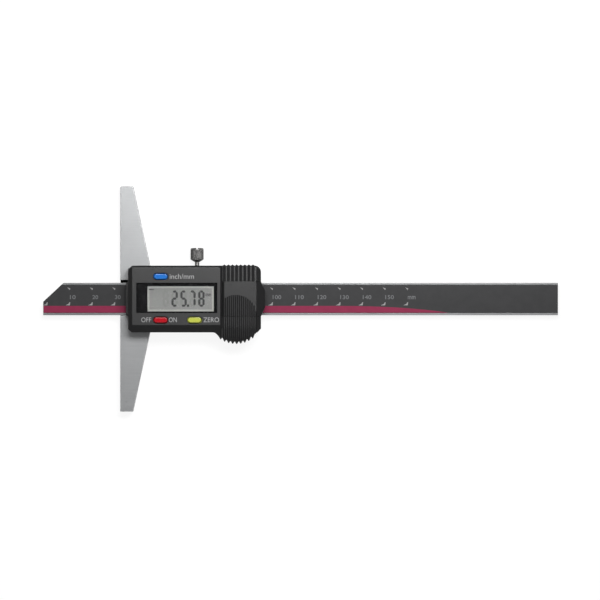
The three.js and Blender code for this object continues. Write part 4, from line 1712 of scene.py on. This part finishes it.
@dataclass
class Keys:
    """The three coloured keys."""

    flange: float = 0.5  # how far the hidden flange stands out
    flange_rise: float = 0.9
    slim: float = 0.14  # how much the cap is drawn in on each side
    flank: Point = (0.16, 0.7)  # how far the cap's side leans in, and how high that is
    rounding: float = 0.07  # of the cap's rim
    dome: float = 0.02
    gap: float = 0.25  # from the key's own size out to its hole
    chamfer: float = 0.1  # round the hole

    # Steps inwards and upwards: over the rim as shares of its rounding, and over the pad as shares of
    # the cap's width and of the dome.
    RIM = ((0.4, 0.7), (1.0, 0.3))
    PAD = ((0.1, 0.7), (0.1, 0.3))
    FINISHES = (BLUE_KEY, RED_KEY, YELLOW_KEY)
    SLOTS = ("key_blue", "key_red", "key_yellow")

    def cap_size(self) -> Point:
        """A cap's length and width above its hidden flange."""
        key = Box.of("zero_button")
        return (key.right - key.left - 2 * self.flange, key.upper - key.lower - 2 * self.flange)

    def hole(self, node: str, low: float, face: float) -> Solid:
        """What is cut out of the housing for a key.

        Args:
            node: The key's CAD node.
            low: Where the hole starts, under the housing's roof.
            face: The height of the housing's face, where the hole has a small chamfer.

        Returns:
            The hole's solid.
        """
        key = Box.of(node)
        length, width = (size + 2 * self.gap for size in self.cap_size())
        made = Solid.prism(Plane.XY, stadium(key.x, key.y, length, width), low, face - self.chamfer)
        end = made.highest()
        made.inset(end, -self.chamfer, self.chamfer)
        made.draw(end, Vector((0, 0, self.chamfer)))
        return made

    def build(self) -> None:
        """Makes the three caps and dresses the plungers under them."""
        for name, finish, slot in zip(KEY_NAMES, self.FINISHES, self.SLOTS):
            node = f"{name}_button"
            self.cap(node).piece(f"{name}_cap", f"{name}_key", finish, slot, (node,))
            dress(GREY_SILICONE, f"{name}_plunger")

    def cap(self, node: str) -> Solid:
        """A pill-shaped cap whose sides lean in to a flat pad with a softly rounded rim.

        Args:
            node: The key's CAD node.

        Returns:
            The cap with its flange.
        """
        key = Box.of(node)
        length, width = (size - 2 * self.slim for size in self.cap_size())
        flange_top = key.bottom + self.flange_rise
        lean, rise = self.flank
        shoulder = key.top - self.dome - rise
        made = Solid.prism(Plane.XY, stadium(key.x, key.y, length, width), flange_top, shoulder)
        pad = made.highest()
        steps = [(0.0, self.rounding), (lean - self.rounding, rise - 2 * self.rounding)]
        steps += [(self.rounding * inward, self.rounding * upward) for inward, upward in self.RIM]
        steps += [(width * inward, self.dome * upward) for inward, upward in self.PAD]
        for inward, upward in steps:
            made.inset(pad, inward, upward)
        bmesh.ops.remove_doubles(made.mesh, verts=made.mesh.verts, dist=MERGE)
        flange = Solid.prism(
            Plane.XY,
            stadium(key.x, key.y, key.right - key.left, key.upper - key.lower),
            key.bottom, flange_top,
        )
        return made.join(flange)


@dataclass
class Display:
    """The window and everything that shows through it."""

    border: float = 0.05  # between the housing's ledge and the clear pane
    border_gap: float = 0.01  # between the border's print and the pane
    glass_edge: float = 0.06
    digit: Point = (2.85, 7.25)  # width and height
    digit_pitch: float = 3.95
    first_digit: float = 22.9
    digit_base: float = -3.45
    stroke: float = 1.0
    reading: str = "2578"
    point_after: int = 2  # digits before the decimal point
    segment_height: float = 0.02
    gap: float = 0.05  # between two segments' ends
    polariser: float = 0.04  # its thickness
    polariser_margin: float = 0.85  # of bare glass that shows round it
    unit: Lettering = Lettering("mm", 38.0, 40.3, 1.2, 1.2)
    unit_weight: float = 0.03
    dash: tuple[Point, Point] = ((12.9, 15.1), (4.0, 4.4))  # its ends along X and along Y

    SEGMENTS = {
        "0": "abcdef", "1": "bc", "2": "abged", "3": "abgcd", "4": "fgbc",
        "5": "afgcd", "6": "afgedc", "7": "abc", "8": "abcdefg", "9": "abcdfg",
    }

    def build(self) -> None:
        """Makes window, border, glass and segments, and dresses what lies under them."""
        window = Box.of("display_window")
        view = window.drawn_in(*VIEW_INSET)
        pane = Solid.over(window, (window.bottom + self.border, window.top))
        pane.piece("window_pane", "head", ACRYLIC, "window_acrylic", ("display_window",))
        border = Solid.over(window, (window.bottom, window.bottom + self.border - self.border_gap))
        border.cut(Solid.over(view, (window.bottom - OVER, window.top + OVER)))
        border.piece("window_border", "head", BORDER_PRINT, "window_acrylic")
        remade("lcd_panel", "display_glass", "head", LCD_GLASS, "lcd_glass", self.glass_edge, 1)
        top = Box.of("lcd_panel").top
        film = Solid.over(view, (top, top + self.polariser), -self.polariser_margin)
        film.piece("display_polariser", "head", LCD, "lcd_glass")
        lit, unlit = self.segments()
        lit.piece("display_digits", "head", SEGMENT, "lcd_glass")
        unlit.piece("display_unlit_segments", "head", FAINT_SEGMENT, "lcd_glass")
        dress(REFLECTOR, "lcd_reflector")
        dress(WHITE_ABS, "lcd_holder")
        dress(GREY_SILICONE, "elastomer_upper", "elastomer_lower")

    def segment_outline(self, name: str, x: float, y: float) -> list[Point]:
        """The outline of one of a digit's seven segments.

        Args:
            name: The segment's letter, from a to g.
            x: The digit's left side.
            y: The digit's base.

        Returns:
            A bar with pointed ends.
        """
        width, height = self.digit
        half = self.stroke / 2
        places = {
            "a": (True, y + height - half), "g": (True, y + height / 2), "d": (True, y + half),
            "f": (False, x + half, 1), "b": (False, x + width - half, 1),
            "e": (False, x + half, 0), "c": (False, x + width - half, 0),
        }
        place = places[name]
        if place[0]:
            low, high, middle = x + half + self.gap, x + width - half - self.gap, place[1]
        else:
            base = y + place[2] * height / 2
            low = base + self.gap + (half if place[2] == 0 else 0)
            high = base + height / 2 - self.gap - (half if place[2] == 1 else 0)
            middle = place[1]
        points = [
            (low, middle), (low + half, middle - half), (high - half, middle - half),
            (high, middle), (high - half, middle + half), (low + half, middle + half),
        ]
        return points if place[0] else [(b, a) for a, b in points]

    def segments(self) -> tuple[Solid, Solid]:
        """The dark segments of the reading, and the faint ones that are off.

        Returns:
            The dark segments, then the faint ones.
        """
        glass = Box.of("lcd_panel")
        low = glass.top + self.polariser
        high = low + self.segment_height
        lit, unlit = Solid(), Solid()
        for place, figure in enumerate(" " + self.reading, start=-1):
            x = self.first_digit + place * self.digit_pitch
            for name in "abcdefg":
                outline = self.segment_outline(name, x, self.digit_base)
                on = name in self.SEGMENTS.get(figure, "")
                (lit if on else unlit).with_loose(Solid.prism(Plane.XY, outline, low, high))
        half = self.stroke / 2
        x = self.first_digit + self.point_after * self.digit_pitch - (self.digit_pitch - self.digit[0]) / 2
        dot = [(x - half, self.digit_base), (x + half, self.digit_base)]
        dot += [(x + half, self.digit_base + 2 * half), (x - half, self.digit_base + 2 * half)]
        lit.with_loose(Solid.prism(Plane.XY, dot, low, high))
        lit.with_loose(self.unit.solid(low, high, self.unit_weight))
        lit.with_loose(Solid.block(*self.dash, (low, high)))
        return lit, unlit


@dataclass
class BatteryBay:
    """The sliding cover, with the cell and contacts under it."""

    edge: float = 0.12
    gap: float = 0.08
    bevel: Point = (1.0, 0.7)  # beside the parting groove
    bulge_taper: float = 4.0  # along the right end, from the cover's sides to its bulge
    skirt: float = 4.4  # how far the right end reaches down
    tongue_end: float = 1.5  # from the housing's right end back to the end of the tongues
    rim: float = 0.5  # rounding of the can's two rims
    can_floor: float = 0.9  # from the cell's lower face
    can_opening: float = 1.1  # from the can's side in to its opening
    cap_inset: float = 1.35  # from the can's side in to the cap's
    cap_edge: float = 0.3
    cap_rise: float = 0.88
    around: int = 96  # facets round the cell

    def build(self, housing: Housing) -> None:
        """Makes the cover and the cell, and dresses the contacts.

        Args:
            housing: The housing whose bay the cover closes and whose grooves it carries on.
        """
        cover = self.cover(housing)
        cover.piece("sliding_cover", "battery_cover", COVER_ABS, "housing_plastic", ("battery_cover",))
        self.cell()
        dress(CELL_NICKEL, "cell_contact_negative", "cell_contact_positive")

    def cover(self, housing: Housing) -> Solid:
        """The cover's lid with its skirt, tongues and grooves.

        Args:
            housing: The housing whose bay it closes.

        Returns:
            The cover's solid.
        """
        box = Box.of("battery_cover")
        half = housing.bay_half - self.gap
        run, drop = housing.right_slope
        side = housing.right
        section = [
            (box.left, housing.cover_bottom),
            (side + self.gap, housing.cover_bottom),
            (side + self.gap, housing.cover_bottom - self.skirt),
            (box.right, housing.cover_bottom - self.skirt),
            (box.right, box.top - drop - (box.right - side) * drop / run),
            (side - run, box.top),
            (box.left + self.bevel[0], box.top),
            (box.left, box.top - self.bevel[1]),
        ]
        outline = [
            (box.left, -half), (side, -half), (box.right, self.bulge_taper - half),
            (box.right, half - self.bulge_taper), (side, half), (box.left, half),
        ]
        lid = Solid.prism(Plane.XZ, section, -half - OVER, half + OVER)
        lid.common(Solid.prism(Plane.XY, outline, housing.cover_bottom - self.skirt, box.top + OVER))
        lid.soften(self.edge, 3, above(housing.cover_bottom + MERGE))
        tongues = Solid.block(
            (box.left, side - self.tongue_end), (box.lower, box.upper),
            (housing.cover_bottom, housing.cover_bottom + housing.tongue_thick),
        )
        return lid.join(tongues).cut(housing.pad_grooves())

    def cell(self) -> None:
        """Makes the button cell: a can with rolled rims and the smaller cap under it."""
        box = Box.of("coin_cell")
        radius = (box.right - box.left) / 2
        middle = Vector((box.x, box.y, box.bottom))
        rise = box.top - box.bottom
        can = [
            (0, rise),
            *arc((radius - self.rim, rise - self.rim), self.rim, QUARTER, 0, steps=6),
            *arc((radius - self.rim, self.can_floor), self.rim, 0, -QUARTER, steps=6),
            (radius - self.can_opening, self.can_floor - self.rim),
            (radius - self.can_opening, self.can_floor),
            (0, self.can_floor),
        ]
        inside = radius - self.cap_inset
        cap = [
            (0, 0), (inside - self.cap_edge, 0), (inside, self.cap_edge), (inside, self.cap_rise),
            (0, self.cap_rise),
        ]
        for name, profile, nodes in (("cell_can", can, ("coin_cell",)), ("cell_cap", cap, ())):
            shape = Solid.turned(profile, middle, UP, self.around)
            shape.piece(name, "head", CELL_NICKEL, "cell_steel", nodes)


@dataclass
class Electronics:
    """What lies on the circuit board."""

    drop: float = 0.9  # rounding of the chip's epoxy drop

    def build(self) -> None:
        """Dresses the board and rounds the chip's epoxy drop."""
        dress(GREEN_BOARD, "main_board")
        chip = Solid.copy_of("controller_chip").soften(self.drop, 5, above(Box.of("controller_chip").z))
        chip.piece("chip_drop", "head", EPOXY, "chip_epoxy", ("controller_chip",))


@dataclass
class HousingScrews:
    """The four cross-head screws in the channel's back."""

    edge: float = 0.1

    def build(self) -> None:
        """Rounds and dresses the screws."""
        for number in range(1, 5):
            node = f"housing_screw_{number}"
            remade(node, f"back_screw_{number}", "head", SCREW_STEEL, "dark_steel", self.edge)


@dataclass(frozen=True)
class Lamp:
    """An oblong soft box: its name, its place and size in millimetres, and its power in watts."""

    name: str
    place: Place
    size: Point
    power: float


@dataclass
class Studio:
    """The white table, the soft light and the camera that looks straight down on the display."""

    view_width: float = 266.08  # of the plane through the beam and the display
    view_centre: Point = (79.8, -0.44)
    view_height: float = 8.5
    lens: float = 350.0
    sensor: float = 36.0
    reach: float = 100.0  # how far the camera sees, in times its distance
    floor_size: float = 40.0  # in metres
    shadow_share: float = 0.2  # the share of the lamps' light that the table spreads
    table_glow: float = 0.87  # its own brightness, wherever it is seen, mirrored or seen through

    LAMPS = (
        Lamp("key_lamp", (95, 120, 290), (240, 120), 1.0),
        Lamp("fill_lamp", (80, -600, 900), (600, 300), 0.5),
    )
    # The room's light: the upward part of the direction, from level to straight up, and its brightness.
    SKY = ((0.0, 0.08), (0.45, 0.14), (0.7, 0.3), (0.85, 0.42), (0.985, 0.5), (0.9945, 0.04), (1.0, 0.03))

    def build(self) -> None:
        """Sets up camera, table, lamps, world and view."""
        self.camera()
        self.table()
        for lamp in self.LAMPS:
            self.hang(lamp)
        self.surroundings()
        bpy.context.scene.view_settings.view_transform = "Standard"

    def camera(self) -> None:
        """Puts the camera straight above the gauge."""
        data = bpy.data.cameras.new("camera")
        data.lens = self.lens
        data.sensor_width = self.sensor
        away = self.view_width * self.lens / self.sensor + self.view_height
        data.clip_end = self.reach * away * MM
        made = placed("camera", data)
        made.location = Vector((*self.view_centre, away)) * MM
        bpy.context.scene.camera = made

    def table(self) -> None:
        """Makes the white table, which shows a light shadow."""
        sheet = bmesh.new()
        bmesh.ops.create_grid(sheet, x_segments=1, y_segments=1, size=self.floor_size / 2)
        mesh = bpy.data.meshes.new("table")
        sheet.to_mesh(mesh)
        made = placed("table", mesh)
        paper = bpy.data.materials.new("white_paper")
        paper.use_nodes = True
        tree = paper.node_tree
        tree.nodes.remove(tree.nodes["Principled BSDF"])
        path = add(tree, "ShaderNodeLightPath")
        seen = path.outputs["Is Camera Ray"]
        for kind in ("Is Glossy Ray", "Is Transmission Ray"):
            either = {"Value": seen, "Value_001": path.outputs[kind]}
            seen = add(tree, "ShaderNodeMath", {"operation": "MAXIMUM"}, either).outputs[0]
        level = {"operation": "MULTIPLY", "Value_001": self.table_glow}
        glow = add(tree, "ShaderNodeMath", level, {"Value": seen}).outputs[0]
        shine = add(tree, "ShaderNodeEmission", links={"Strength": glow}).outputs[0]
        matt = add(tree, "ShaderNodeBsdfDiffuse", {"Color": (*[self.shadow_share] * 3, 1.0)}).outputs[0]
        both = add(tree, "ShaderNodeAddShader", links={"Shader": shine, "Shader_001": matt}).outputs[0]
        tree.links.new(both, tree.nodes["Material Output"].inputs["Surface"])
        mesh.materials.append(paper)

    def hang(self, lamp: Lamp) -> None:
        """Hangs a lamp, long along the beam, and aims it at the view's centre.

        Args:
            lamp: The lamp.
        """
        data = bpy.data.lights.new(lamp.name, "AREA")
        data.shape = "RECTANGLE"
        data.size, data.size_y = (side * MM for side in lamp.size)
        data.energy = lamp.power
        made = placed(lamp.name, data)
        made.location = Vector(lamp.place) * MM
        aim = Vector((*self.view_centre, 0)) - Vector(lamp.place)
        made.rotation_euler = aim.to_track_quat("-Z", "Y").to_euler()

    def surroundings(self) -> None:
        """Grades the room's light from the horizon up to a darker patch round the camera."""
        world = bpy.data.worlds.new("studio")
        bpy.context.scene.world = world
        world.use_nodes = True
        tree = world.node_tree
        way = add(tree, "ShaderNodeTexCoord").outputs["Generated"]
        height = add(tree, "ShaderNodeSeparateXYZ", links={"Vector": way}).outputs["Z"]
        ramp = add(tree, "ShaderNodeValToRGB", links={"Fac": height})
        ramp.color_ramp.elements[0].position = self.SKY[0][0]
        ramp.color_ramp.elements[1].position = self.SKY[-1][0]
        for place, _ in self.SKY[1:-1]:
            ramp.color_ramp.elements.new(place)
        for stop, (_, level) in zip(ramp.color_ramp.elements, self.SKY):
            stop.color = (level, level, level, 1)
        background = tree.nodes["Background"]
        tree.links.new(ramp.outputs["Color"], background.inputs["Color"])


def main() -> None:
    """Builds the gauge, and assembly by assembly."""
    logging.basicConfig(level=logging.INFO, format="%(name)s: %(message)s")
    Studio().build()
    Crossbar().build()
    Beam().build()
    LockScrew().build()
    housing = Housing()
    housing.build()
    Keys().build()
    Display().build()
    BatteryBay().build(housing)
    Electronics().build()
    HousingScrews().build()


if __name__ == "__main__":
    main()
